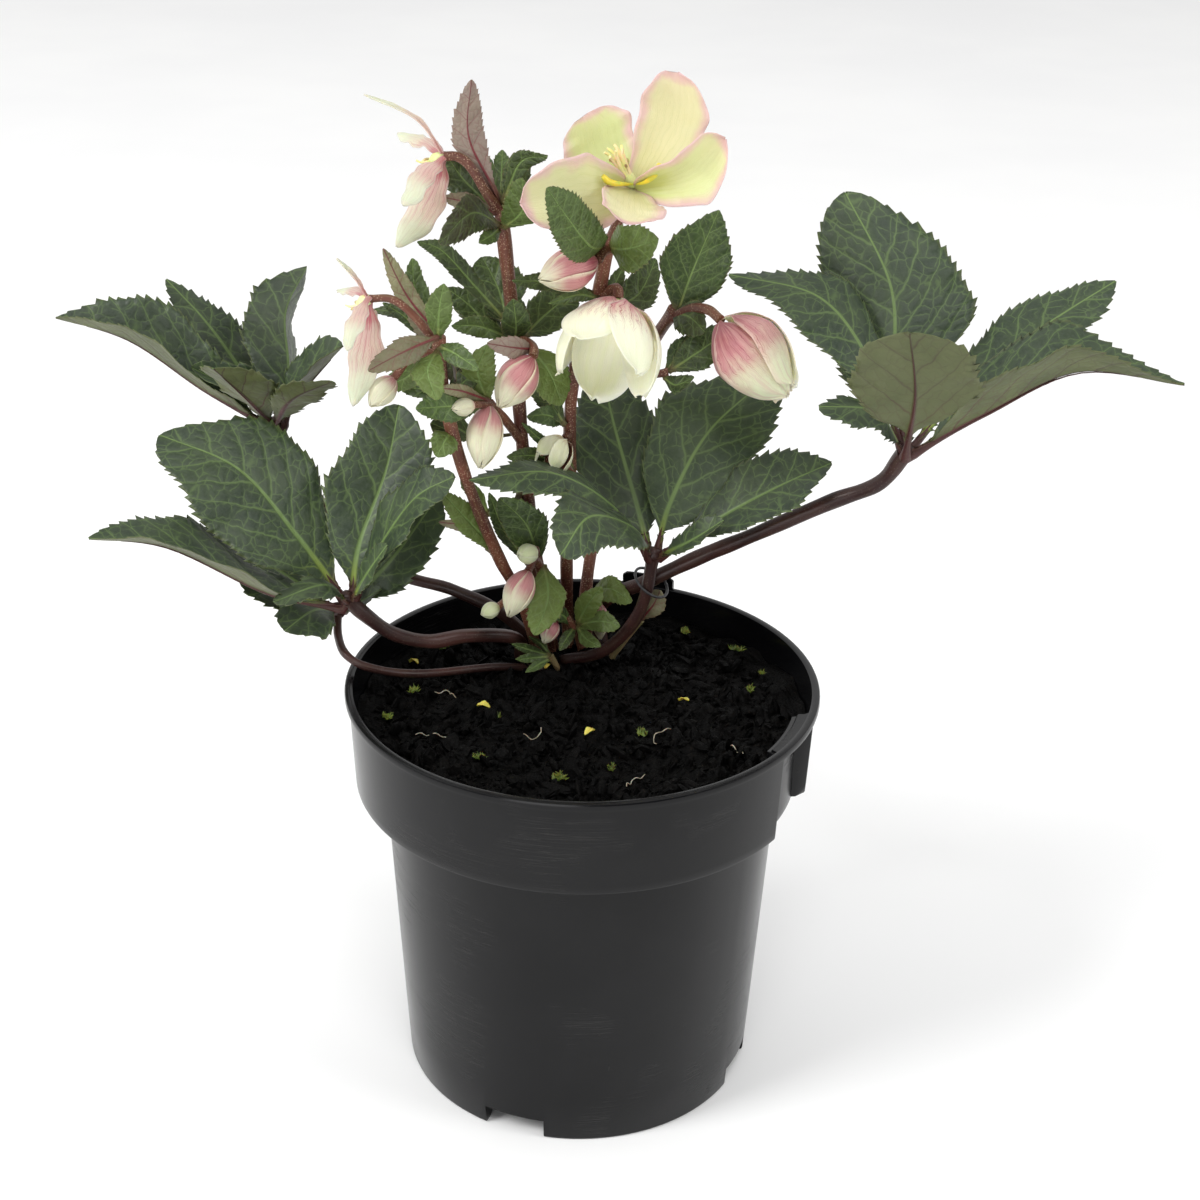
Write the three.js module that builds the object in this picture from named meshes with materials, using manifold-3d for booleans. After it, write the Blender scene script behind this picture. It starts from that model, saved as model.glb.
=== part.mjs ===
// A hellebore in bloom, growing in its black nursery pot.
// Millimetres, +Z up. The origin is the middle of the pot's foot, on the surface that the pot stands on.
import * as THREE from "three";
import { mergeVertices } from "three/addons/utils/BufferGeometryUtils.js";
import Module from "manifold-3d";

const wasm = await Module();
wasm.setup();

// Pot
const potHeight = 177;
const rimRadius = 97;
const rimDepth = 3; // height of the thick lip
const collarTopRadius = 95.4;
const collarRadius = 93.6; // outside of the collar at its lower edge
const collarBottom = 135;
const bodyTopRadius = 81.7;
const footRadius = 74;
const wall = 1.8;
const footHeight = 9; // the raised channel under the base, and the notches that let it drain
const footRingWidth = 6;
const contactRadius = 50; // the flat middle of the base, which stands on the surface
const notchCount = 4;
const notchWidth = 26;
const firstNotchAngle = -110; // degrees
const drainCount = 6;
const drainRadius = 4;
const potSides = 32;
const recess = { from: -33, to: -13, radius: 88.6 }; // finger recess in the collar, degrees
const tab = { from: 66, to: 80, rise: 5 }; // label tab that stands up from the rim

// Soil
const soilLevel = 163;
const soilBump = 2.2;
const soilGap = 0.35; // clear of the pot
const holeGap = 0.9; // clear of each stem that stands in the soil
const rootDepth = 11; // how far stems stand in the soil

// Plant tissue
const bladeThickness = 0.8;
const ribDepth = 1.1; // how far a midrib stands out under its blade, at the base
const toothShare = 1.07; // how far teeth and the notches between them stand out, against a smooth edge
const notchShare = 0.95;
const joinGap = 0.4; // between a stalk and what grows on it
const leafHub = 3.4; // radius of the knot where leaflets meet
const bloomHub = 3.2;
const middleHub = 2.2;

const looks = {
  pot: { color: 0x1c1d1e, roughness: 0.5 },
  soil: { color: 0x14110f, roughness: 1 },
  stalk: { color: 0x4a2a24, roughness: 0.55 },
  leaf: { color: 0x33452f, roughness: 0.6 },
  stem: { color: 0x5b6a38, roughness: 0.6 },
  openSepal: { color: 0xe3e0a8, roughness: 0.6 },
  whiteSepal: { color: 0xf1efd6, roughness: 0.6 },
  pinkSepal: { color: 0xd9b3ad, roughness: 0.6 },
  bud: { color: 0xdfc9a8, roughness: 0.6 },
  stamen: { color: 0xdfd45a, roughness: 0.6 },
  wire: { color: 0x101010, roughness: 0.4 },
};

const up = new THREE.Vector3(0, 0, 1);
const radians = THREE.MathUtils.degToRad;
const plant = new THREE.Group();

// ---------------------------------------------------------------- solids

// A closed geometry as a solid: shared vertices merged, and triangles of no area left out.
function solidOf(geometry) {
  const plain = geometry.index ? geometry.toNonIndexed() : geometry.clone();
  plain.deleteAttribute("normal");
  plain.deleteAttribute("uv");
  const merged = mergeVertices(plain, 1e-4);
  const corners = merged.index.array;
  const kept = [];
  for (let i = 0; i < corners.length; i += 3) {
    const [a, b, c] = corners.slice(i, i + 3);
    if (a !== b && b !== c && c !== a) kept.push(a, b, c);
  }
  return new wasm.Manifold(
    new wasm.Mesh({
      numProp: 3,
      vertProperties: merged.attributes.position.array,
      triVerts: new Uint32Array(kept),
    }),
  );
}

function joined(solids) {
  return wasm.Manifold.union(solids);
}

// Adds one named piece to the plant, without the scraps that a cut leaves loose.
function addPiece(name, solid, look) {
  const whole = solid.decompose().sort((a, b) => b.volume() - a.volume())[0];
  const mesh = whole.getMesh();
  const geometry = new THREE.BufferGeometry();
  geometry.setAttribute("position", new THREE.BufferAttribute(mesh.vertProperties, 3));
  geometry.setIndex(new THREE.BufferAttribute(mesh.triVerts, 1));
  geometry.computeVertexNormals();
  const piece = new THREE.Mesh(geometry, new THREE.MeshStandardMaterial({ ...look, metalness: 0 }));
  piece.name = name;
  plant.add(piece);
}

function curveThrough(points) {
  const places = points.map((point) => new THREE.Vector3(...point));
  return new THREE.CatmullRomCurve3(places, false, "catmullrom", 0.5);
}

// A round stem of one thickness along its control points.
function stemAlong(points, radius, sides = 5) {
  const section = new THREE.Shape();
  for (let k = 0; k < sides; k += 1) {
    const angle = (2 * Math.PI * k) / sides;
    const x = radius * Math.cos(angle);
    const y = radius * Math.sin(angle);
    if (k === 0) section.moveTo(x, y);
    else section.lineTo(x, y);
  }
  const steps = points.length === 2 ? 1 : Math.ceil(1.25 * (points.length - 1));
  const path = curveThrough(points);
  return solidOf(new THREE.ExtrudeGeometry(section, { steps, bevelEnabled: false, extrudePath: path }));
}

// A small knot, with few faces.
function ball(centre, radius) {
  return solidOf(new THREE.IcosahedronGeometry(radius, 0).translate(...centre));
}

// Part of an upright ring, between two angles in degrees.
function ringSector(inner, outer, from, to, bottom, top) {
  const shape = new THREE.Shape();
  shape.absarc(0, 0, outer, radians(from), radians(to), false);
  shape.absarc(0, 0, inner, radians(to), radians(from), true);
  const depth = top - bottom;
  const geometry = new THREE.ExtrudeGeometry(shape, { depth, bevelEnabled: false, curveSegments: 4 });
  return solidOf(geometry.translate(0, 0, bottom));
}

// A turned solid with its axis upright.
function turned(profile, sides) {
  const points = profile.map(([radius, height]) => new THREE.Vector2(radius, height));
  return new THREE.LatheGeometry(points, sides).rotateX(Math.PI / 2);
}

// A thin closed sheet: point(t, s) gives its upper face, t from base to tip and s from the left edge, -1,
// to the right edge, 1. Both faces are split into the same triangles. depth(t, s) is its thickness.
function sheet(rows, columns, point, depth) {
  const top = [];
  for (let i = 0; i <= rows; i += 1) {
    top.push([]);
    for (let j = 0; j <= columns; j += 1) top[i].push(point(i / rows, (2 * j) / columns - 1));
  }
  const at = (i, j) => top[Math.min(Math.max(i, 0), rows)][Math.min(Math.max(j, 0), columns)];
  const across = new THREE.Vector3();
  const along = new THREE.Vector3();
  const under = top.map((row, i) =>
    row.map((corner, j) => {
      across.subVectors(at(i, j + 1), at(i, j - 1));
      along.subVectors(at(i + 1, j), at(i - 1, j));
      const normal = across.cross(along).normalize();
      return corner.clone().addScaledVector(normal, -depth(i / rows, (2 * j) / columns - 1));
    }),
  );
  const corners = [...top.flat(), ...under.flat()];
  const width = columns + 1;
  const lower = top.length * width;
  const faces = [];
  const quad = (a, b, c, d) => faces.push(a, b, c, b, d, c);
  for (let i = 0; i < rows; i += 1) {
    for (let j = 0; j < columns; j += 1) {
      const a = i * width + j;
      quad(a, a + 1, a + width, a + width + 1);
      faces.push(lower + a, lower + a + width, lower + a + 1);
      faces.push(lower + a + 1, lower + a + width, lower + a + width + 1);
    }
    const left = i * width;
    const right = left + columns;
    quad(left, left + width, lower + left, lower + left + width);
    quad(right, lower + right, right + width, lower + right + width);
  }
  for (let j = 0; j < columns; j += 1) {
    const tip = rows * width + j;
    quad(j, lower + j, j + 1, lower + j + 1);
    quad(tip, tip + 1, lower + tip, lower + tip + 1);
  }
  const geometry = new THREE.BufferGeometry();
  const places = new Float32Array(corners.flatMap((corner) => corner.toArray()));
  geometry.setAttribute("position", new THREE.BufferAttribute(places, 3));
  geometry.setIndex(faces);
  return solidOf(geometry);
}

// ---------------------------------------------------------------- blades and buds

// How wide a blade is at t, as a share of its widest half.
function outline(t, widest, tipPower) {
  if (t < widest) return Math.sin((Math.PI / 2) * (t / widest));
  return Math.max(0, Math.cos((Math.PI / 2) * ((t - widest) / (1 - widest)))) ** tipPower;
}

// A leaflet, bract or sepal along its midrib. half is its widest half in millimetres. roll turns it about
// its length from level, and fold raises both halves, in degrees. hollow bends it in a curve, not a crease.
function blade(points, half, roll, fold, shape = {}) {
  const { widest = 0.5, tip = 0.65, teeth = 0, rows = 5, hollow = false, rib = ribDepth, root } = shape;
  const path = curveThrough(points);
  const forward = path.getPoint(1).sub(path.getPoint(0)).normalize();
  const level = new THREE.Vector3().crossVectors(forward, up).normalize();
  const right = level.applyAxisAngle(forward, radians(roll));
  const above = new THREE.Vector3().crossVectors(right, forward);
  const rise = Math.sin(radians(fold));
  const run = Math.cos(radians(fold));
  const stepForward = (0.35 * path.getLength()) / rows;
  const least = Math.min(0.5, 1.3 / half);
  const footRows = root ? 1 : 0;
  const point = (along, s) => {
    const row = Math.round(along * (rows + footRows)) - footRows;
    if (row < 0) return root.clone().addScaledVector(right, 0.6 * s);
    const t = row / rows;
    const share = Math.max(outline(t, widest, tip), t < 0.5 ? least : least / 3);
    const edged = teeth > 0 && row > 1 && row < rows - 1 && Math.abs(s) === 1;
    const tooth = row % 2 === 1 ? notchShare : toothShare;
    const reach = half * share * Math.abs(s) * (edged ? tooth : 1);
    const place = path.getPoint(t);
    place.addScaledVector(right, Math.sign(s) * reach * run);
    place.addScaledVector(above, reach * rise * (hollow ? Math.abs(s) : 1));
    if (edged && row % 2 === 0) place.addScaledVector(forward, stepForward);
    return place;
  };
  const depth = (t, s) => bladeThickness + (s === 0 ? rib * (1 - t) : 0);
  let columns = half < 5.2 ? 1 : 2;
  if (hollow) columns = 4;
  return sheet(rows + footRows, columns, point, depth);
}

function leaflet(points, half, roll, fold, shape = {}) {
  let teeth = half > 10 ? 4 : 3;
  if (half > 20) teeth = 5;
  const fullness = 1.03;
  return blade(points, fullness * half, roll, fold, { teeth, rows: 2 * teeth, tip: 0.52, ...shape });
}

function sepal(points, half, roll, fold, shape = {}) {
  const hollow = half > 8;
  return blade(points, half, roll, fold, { hollow, rib: 0, tip: 0.5, rows: hollow ? 5 : 4, ...shape });
}

// A small leaf of a flowering stem. Where it starts clear of the stem, its foot reaches back to the
// stem's middle.
function bract(stem, points, half, roll, fold = 10) {
  const path = curveThrough(stem);
  const start = new THREE.Vector3(...points[0]);
  let root = path.getPoint(0);
  for (let t = 0; t <= 1; t += 0.01) {
    const place = path.getPoint(t);
    if (place.distanceTo(start) < root.distanceTo(start)) root = place;
  }
  if (root.distanceTo(start) < 1.3) root = undefined;
  let rows = half > 7 ? 4 : 3;
  if (half < 3) rows = 2;
  const fullness = 1.07; // makes up for the few rows
  return blade(points, fullness * half, roll, fold, { rows, rib: 0.3, root });
}

// A closed bud from its foot to its tip: three sepals wrapped round each other, as steps in its outline.
function bud(from, to, radius, grow = 0) {
  const base = new THREE.Vector3(...from);
  const axis = new THREE.Vector3(...to).sub(base);
  const length = axis.length();
  axis.normalize();
  const rings = 5;
  const profile = [[0, -grow]];
  for (let i = 1; i < rings; i += 1) {
    const t = i / rings;
    profile.push([(radius + grow) * Math.sin(Math.PI * t ** 0.85) ** 0.75, t * length]);
  }
  profile.push([0, length + grow]);
  const geometry = turned(profile, 9);
  const places = geometry.attributes.position;
  for (let i = 0; i < places.count; i += 1) {
    const x = places.getX(i);
    const y = places.getY(i);
    const turn = (3 * Math.atan2(y, x)) / (2 * Math.PI) + places.getZ(i) / length + 0.05;
    const step = 1 + 0.07 * (turn - Math.floor(turn) - 0.5);
    places.setXYZ(i, x * step, y * step, places.getZ(i));
  }
  geometry.applyQuaternion(new THREE.Quaternion().setFromUnitVectors(up, axis));
  return solidOf(geometry.translate(base.x, base.y, base.z));
}

// One sepal of a cup-shaped flower. Its midrib is an arc that starts at the angle `opens` from the flower's
// axis and ends at `closes`. It laps over its neighbour on one side and under the other.
function cupSepal(cup, turn) {
  const { from, axis, length, opens, closes, half, wrap, rows } = cup;
  const base = new THREE.Vector3(...from);
  const along = new THREE.Vector3(...axis).normalize();
  const side = new THREE.Vector3().crossVectors(up, along).normalize();
  const other = new THREE.Vector3().crossVectors(along, side);
  const start = radians(opens);
  const sweep = radians(closes - opens);
  const point = (t, s) => {
    const angle = start + sweep * t;
    const height = (length * (Math.sin(angle) - Math.sin(start))) / sweep;
    const radius = 1.6 + (length * (Math.cos(start) - Math.cos(angle))) / sweep;
    const reach = half * Math.max(outline(t, 0.55, 0.5), 0.15) * s;
    const spread = radians(turn) + reach / Math.max(radius, wrap);
    const lapped = Math.max(radius + 1.3 * s, 0.8);
    const place = base.clone().addScaledVector(along, height);
    place.addScaledVector(side, lapped * Math.cos(spread));
    return place.addScaledVector(other, lapped * Math.sin(spread));
  };
  return sheet(rows, 3, point, () => bladeThickness);
}

function cup(shape) {
  const sepals = [0, 1, 2, 3, 4].map((k) => cupSepal(shape, 72 * k + shape.turn));
  return joined([ball(shape.from, bloomHub), ...sepals]);
}

// A bloom's own frame: at(turn, radius, rise) is a place round its axis, above the knot it grows from.
function bloomFrame(from, axis) {
  const along = new THREE.Vector3(...axis).normalize();
  const side = new THREE.Vector3().crossVectors(up, along).normalize();
  const other = new THREE.Vector3().crossVectors(along, side);
  return (turn, radius, rise) => {
    const place = new THREE.Vector3(...from).addScaledVector(along, rise);
    place.addScaledVector(side, radius * Math.cos(turn));
    return place.addScaledVector(other, radius * Math.sin(turn)).toArray();
  };
}

// What stands in the middle of a bloom: a small knot with styles, stamens round them and a ring of horns.
function bloomMiddle(from, axis, size) {
  const at = bloomFrame(from, axis);
  const start = bloomHub + joinGap + middleHub;
  const around = (count, offset, make) =>
    Array.from({ length: count }, (unused, k) => make((2 * Math.PI * (k + offset)) / count));
  const style = (turn) => stemAlong([at(turn, 1, start), at(turn, 1.5, size.height)], 0.6, 3);
  const stamen = (turn) => {
    const lean = size.spread * (0.8 + 0.2 * Math.sin(3 * turn));
    return stemAlong([at(turn, 1.2, start), at(turn, lean, 0.8 * size.height)], 0.5, 3);
  };
  const horn = (turn) => stemAlong([at(turn, 1, start), at(turn, 4.4, start + 2.5)], 0.9, 3);
  return joined([
    ball(at(0, 0, start), middleHub),
    ...around(size.styles, 0, style),
    ...around(size.stamens, 0.5, stamen),
    ...around(size.horns, 0.25, horn),
  ]);
}

// The room that a bloom's middle needs between the feet of its sepals.
function middleRoom(from, axis) {
  const at = bloomFrame(from, axis);
  const start = bloomHub + joinGap + middleHub;
  return stemAlong([at(0, 0, bloomHub + joinGap / 4), at(0, 0, start + 6)], middleHub + 1.2);
}

// ---------------------------------------------------------------- pot, soil and tie

function potBody() {
  const inner = wall / Math.cos(Math.PI / potSides);
  const floor = footHeight + wall;
  const ringInner = footRadius - footRingWidth;
  const profile = [
    [0, 0],
    [contactRadius, 0],
    [contactRadius + 2, footHeight],
    [ringInner, footHeight],
    [ringInner, 0],
    [footRadius, 0],
    [bodyTopRadius, collarBottom],
    [collarRadius, collarBottom],
    [collarTopRadius, potHeight - rimDepth],
    [rimRadius, potHeight - rimDepth],
    [rimRadius, potHeight],
    [collarTopRadius - inner, potHeight],
    [collarRadius - inner, collarBottom + wall],
    [bodyTopRadius - inner, collarBottom + wall],
    [footRadius + 0.4 - inner, floor],
    [contactRadius + 1, floor],
    [contactRadius - 1, wall],
    [0, wall],
  ];
  return solidOf(turned(profile, potSides));
}

// One notch in the foot ring, as wide at its top as at the surface.
function footNotch(angle) {
  const notch = new THREE.BoxGeometry(footRingWidth + 8, notchWidth, footHeight + 1);
  notch.translate(footRadius - footRingWidth / 2, 0, (footHeight - 1) / 2);
  return solidOf(notch.rotateZ(radians(angle)));
}

function drainHole(angle) {
  const hole = new THREE.CylinderGeometry(drainRadius, drainRadius, 8, 8).rotateX(Math.PI / 2);
  const out = (contactRadius + footRadius - footRingWidth) / 2 + 1;
  return solidOf(hole.translate(out, 0, footHeight + wall / 2).rotateZ(radians(angle)));
}

function pot() {
  const turns = (count, first) => Array.from({ length: count }, (unused, k) => first + (360 * k) / count);
  const cuts = [
    ...turns(notchCount, firstNotchAngle).map(footNotch),
    ...turns(drainCount, 22.5).map(drainHole),
    ringSector(recess.radius, rimRadius + 3, recess.from, recess.to, collarBottom - 4, potHeight - rimDepth),
  ];
  const inside = recess.radius - wall;
  const edge = 1.2; // degrees of the pot taken by one wall of the recess
  const top = potHeight - rimDepth;
  const walls = [
    ringSector(inside, recess.radius + 0.1, recess.from - edge, recess.to + edge, collarBottom, top),
    ringSector(inside, collarRadius, recess.from - edge, recess.from, collarBottom, top),
    ringSector(inside, collarRadius, recess.to, recess.to + edge, collarBottom, top),
    ringSector(rimRadius - wall, rimRadius, tab.from, tab.to, potHeight - 1, potHeight + tab.rise),
  ];
  return joined([potBody().subtract(joined(cuts)), ...walls]);
}

// How far the top of the soil stands above or below its level.
function soilHeight(x, y) {
  const coarse = Math.sin(0.11 * x + 1.3) * Math.cos(0.13 * y - 0.4);
  const fine = Math.sin(0.31 * x - 0.27 * y) + Math.sin(0.23 * x + 0.35 * y + 2);
  return soilBump * (0.6 * coarse + 0.3 * fine);
}

function soil(stems) {
  const inner = wall / Math.cos(Math.PI / potSides) + soilGap;
  const floor = footHeight + wall + soilGap;
  const collarSlope = (collarTopRadius - collarRadius) / (potHeight - rimDepth - collarBottom);
  const topRadius = collarRadius - inner + collarSlope * (soilLevel - collarBottom);
  const profile = [
    [0, wall + soilGap],
    [contactRadius - 2, wall + soilGap],
    [contactRadius, floor],
    [footRadius - inner, floor],
    [bodyTopRadius - inner - 0.2, collarBottom + wall + soilGap],
    [collarRadius - inner, collarBottom + wall + soilGap],
    [topRadius, soilLevel],
    [62, soilLevel],
    [33, soilLevel],
    [0, soilLevel],
  ];
  const geometry = turned(profile, potSides);
  const places = geometry.attributes.position;
  for (let i = 0; i < places.count; i += 1) {
    if (places.getZ(i) === soilLevel) {
      places.setZ(i, soilLevel + soilHeight(places.getX(i), places.getY(i)));
    }
  }
  const holes = stems.map(({ path, radius }) => {
    const [x, y, z] = path[0];
    return stemAlong([[x, y, z - 0.5], ...path.slice(1)], radius + holeGap, 6);
  });
  const past = 2.5; // degrees kept clear of each side wall of the recess
  const { from, to, radius } = recess;
  const beside = radius - wall - soilGap;
  holes.push(ringSector(beside, rimRadius, from - past, to + past, collarBottom, potHeight));
  return solidOf(geometry).subtract(joined(holes));
}

// A wire ring that ties two leaf stalks together.
function tieRing() {
  const ring = new THREE.TorusGeometry(8, 0.6, 5, 18);
  const facing = new THREE.Vector3(0.55, -0.23, 0.8).normalize();
  ring.applyQuaternion(new THREE.Quaternion().setFromUnitVectors(up, facing));
  return solidOf(ring.translate(27.7, 32.1, 206.5));
}

// ---------------------------------------------------------------- leaves

// A stalk that stands in the soil at its first place.
function rooted(points, radius) {
  const [x, y] = points[0];
  return { path: [[x, y, soilLevel - rootDepth], ...points], radius };
}

const leafStalks = {
  left_back: rooted(
    [
      [-22, 56, 164],
      [-37, 55, 180],
      [-58, 58, 189],
      [-82, 62, 195],
      [-108, 66, 217],
      [-127, 70, 245],
      [-132, 70, 258],
    ],
    2.6,
  ),
  left_front: rooted(
    [
      [-27, 42, 164],
      [-29, 34, 178],
      [-48, 22, 185],
      [-64, 18, 184],
      [-79, 15, 189],
      [-91, 12, 200],
      [-96, 11, 206],
    ],
    3,
  ),
  centre: rooted(
    [
      [-10, 43, 162],
      [7, 36, 171],
      [19, 32, 185],
      [25, 29, 200],
      [28, 28, 220],
    ],
    2.6,
  ),
  right: rooted(
    [
      [8, 50, 164],
      [7, 52, 186],
      [27, 35, 206],
      [48, 34, 216],
      [68, 30, 227],
      [99, 24, 246],
      [117, 16, 260],
      [125, 10, 275],
    ],
    3.1,
  ),
  left_low: rooted(
    [
      [-16, 34, 162],
      [-35, 28, 167.5],
      [-68, 12, 172],
      [-87, 4, 178.5],
      [-97, 6, 183],
      [-102, 18, 186],
      [-103, 27, 192],
    ],
    1.7,
  ),
};

const leaves = {
  left_back: [
    leaflet([[-134, 70, 259], [-161, 72, 273], [-192, 76, 293], [-223, 80, 301]], 20, -10, 50, {
      widest: 0.55,
    }),
    leaflet([[-134, 71, 259], [-148, 88, 275], [-164, 98, 294], [-181, 104, 311]], 12, -15, -5),
    leaflet([[-131, 72, 259], [-127, 80, 279], [-129, 92, 301], [-121, 106, 317]], 18.5, 60, -40),
    leaflet([[-130, 70, 259], [-120, 66, 275], [-101, 60, 298]], 17.5, 20, 30, { widest: 0.6 }),
    leaflet([[-134, 69, 260], [-144, 71, 271], [-165, 66, 285]], 11.5, -30, 40, { widest: 0.55 }),
    leaflet([[-133, 68, 260], [-140, 52, 277], [-150, 36, 296]], 15, 10, 20, { widest: 0.6 }),
    leaflet([[-132, 68, 260], [-121, 48, 279], [-103, 40, 290]], 9, -30, 5),
  ],
  left_front: [
    leaflet([[-98, 12, 206], [-118, 20, 231], [-142, 32, 254], [-174, 38, 266]], 25.5, -35, 5),
    leaflet([[-95, 12, 207], [-92, 20, 227], [-82, 36, 253], [-77, 46, 278]], 19.5, 20, 15, {
      widest: 0.55,
    }),
    leaflet([[-94, 10, 208], [-83, 4, 231], [-67, 0, 256], [-51, -2, 267]], 14, 35, 10),
    leaflet([[-98, 10, 204], [-127, 4, 212], [-164, -6, 236], [-193, -14, 243]], 19, 5, 25),
    leaflet([[-94, 8, 208], [-86, -6, 226], [-77, -13, 242]], 6, 70, 15),
    leaflet([[-96, 8, 207], [-104, 0, 218], [-123, -10, 215]], 7, -15, -5),
  ],
  centre: [
    leaflet([[27, 28, 220], [21, 42, 237], [11, 60, 265], [6, 72, 283]], 19, -15, -5),
    leaflet([[29, 28, 221], [35, 36, 242], [50, 50, 267], [75, 66, 286]], 23, 30, 0, { widest: 0.55 }),
    leaflet([[30, 28, 221], [55, 20, 242], [77, 23, 254], [99, 29, 263]], 18, 25, 15),
    leaflet([[27, 28, 220], [11, 20, 246], [-14, 8, 265], [-45, -5, 267]], 13, -20, -15, { widest: 0.4 }),
    leaflet([[27, 27, 220], [20, 9, 241], [2, -7, 253], [-9, -23, 244]], 14.5, -30, -5, { widest: 0.55 }),
    leaflet([[30, 26, 221], [43, 12, 235], [55, 8, 246]], 6.5, 45, 25),
  ],
  right: [
    leaflet([[125, 12, 276], [111, 24, 307], [90, 36, 330], [55, 45, 336]], 15.5, -25, -5),
    leaflet([[125, 12, 277], [122, 32, 302], [120, 52, 331], [102, 74, 362]], 28.5, -30, -5, {
      widest: 0.45,
    }),
    leaflet([[126, 11, 276], [149, 26, 296], [179, 40, 317], [208, 46, 336]], 16, 20, 0, { widest: 0.55 }),
    leaflet([[126, 9, 276], [154, 4, 295], [187, 0, 314], [226, -6, 312]], 27.5, -5, 40, {
      widest: 0.4,
      tip: 1.2,
    }),
    leaflet([[125, 8, 276], [124, -10, 307], [118, -22, 336]], 25, 10, 0, { widest: 0.6 }),
    leaflet([[124, 8, 278], [112, 6, 294], [89, -2, 299]], 9, -25, -15),
  ],
  left_low: [
    leaflet([[-101, 28, 193], [-80, 32, 215], [-61, 42, 240]], 15, 35, 5, { widest: 0.55 }),
    leaflet([[-104, 28, 193], [-112, 18, 197], [-122, 6, 194]], 14, -10, 0, { widest: 0.6 }),
    leaflet([[-105, 28, 194], [-132, 34, 210], [-163, 42, 223]], 12.5, -15, 10),
    leaflet([[-105, 26, 193], [-122, 30, 196], [-143, 26, 207]], 10, -10, 0),
    leaflet([[-101, 28, 192], [-93, 23, 199], [-84, 22, 206]], 5.5, 30, 20),
  ],
};

// ---------------------------------------------------------------- flowering stems

// A stem that stands in the soil, its side branches and its small leaves, as one piece.
function floweringStem(main, branches, bracts) {
  const parts = [stemAlong(main.path, main.radius)];
  for (const { path, radius } of branches) parts.push(stemAlong(path, radius, 4));
  for (const [points, half, roll, stem = main.path, fold = 10] of bracts) {
    parts.push(bract(stem, points, half, roll, fold));
  }
  return joined(parts);
}

const stemPaths = {
  tall: rooted(
    [
      [-14, 55, 164],
      [-20, 42, 202],
      [-24, 36, 241],
      [-27, 32, 278],
      [-29, 28, 313],
      [-33, 22, 358],
      [-34, 22, 368],
    ],
    2.7,
  ),
  middle: rooted(
    [
      [-7, 55, 164],
      [-8, 46, 210],
      [-7, 42, 248],
      [-7, 38, 280],
      [-4, 34, 307],
      [3, 30, 329],
      [7, 25, 354],
    ],
    2.6,
  ),
  left: rooted(
    [
      [-20, 44, 164],
      [-26, 30, 198],
      [-35, 20, 222],
      [-47, 2, 265],
      [-54, -6, 300],
      [-56, -8, 326],
    ],
    2.4,
  ),
  back: rooted(
    [
      [1, 58, 164],
      [0, 56, 186],
      [3, 62, 212],
      [10, 78, 242],
      [21, 78, 275],
      [26, 64, 300],
      [34, 50, 319],
    ],
    2.6,
  ),
  short: rooted(
    [
      [-14, 48, 164],
      [-15, 36, 191],
      [-20, 30, 219],
    ],
    2,
  ),
  low: rooted(
    [
      [-1, 50, 164],
      [-3, 43, 177],
      [-4, 36, 184],
    ],
    1.8,
  ),
  shoot: rooted(
    [
      [12, 46, 163],
      [16, 44, 171],
      [24, 42, 184],
    ],
    1.5,
  ),
  young: rooted(
    [
      [-10, 34, 161],
      [-14, 32, 171],
    ],
    1.2,
  ),
};

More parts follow.
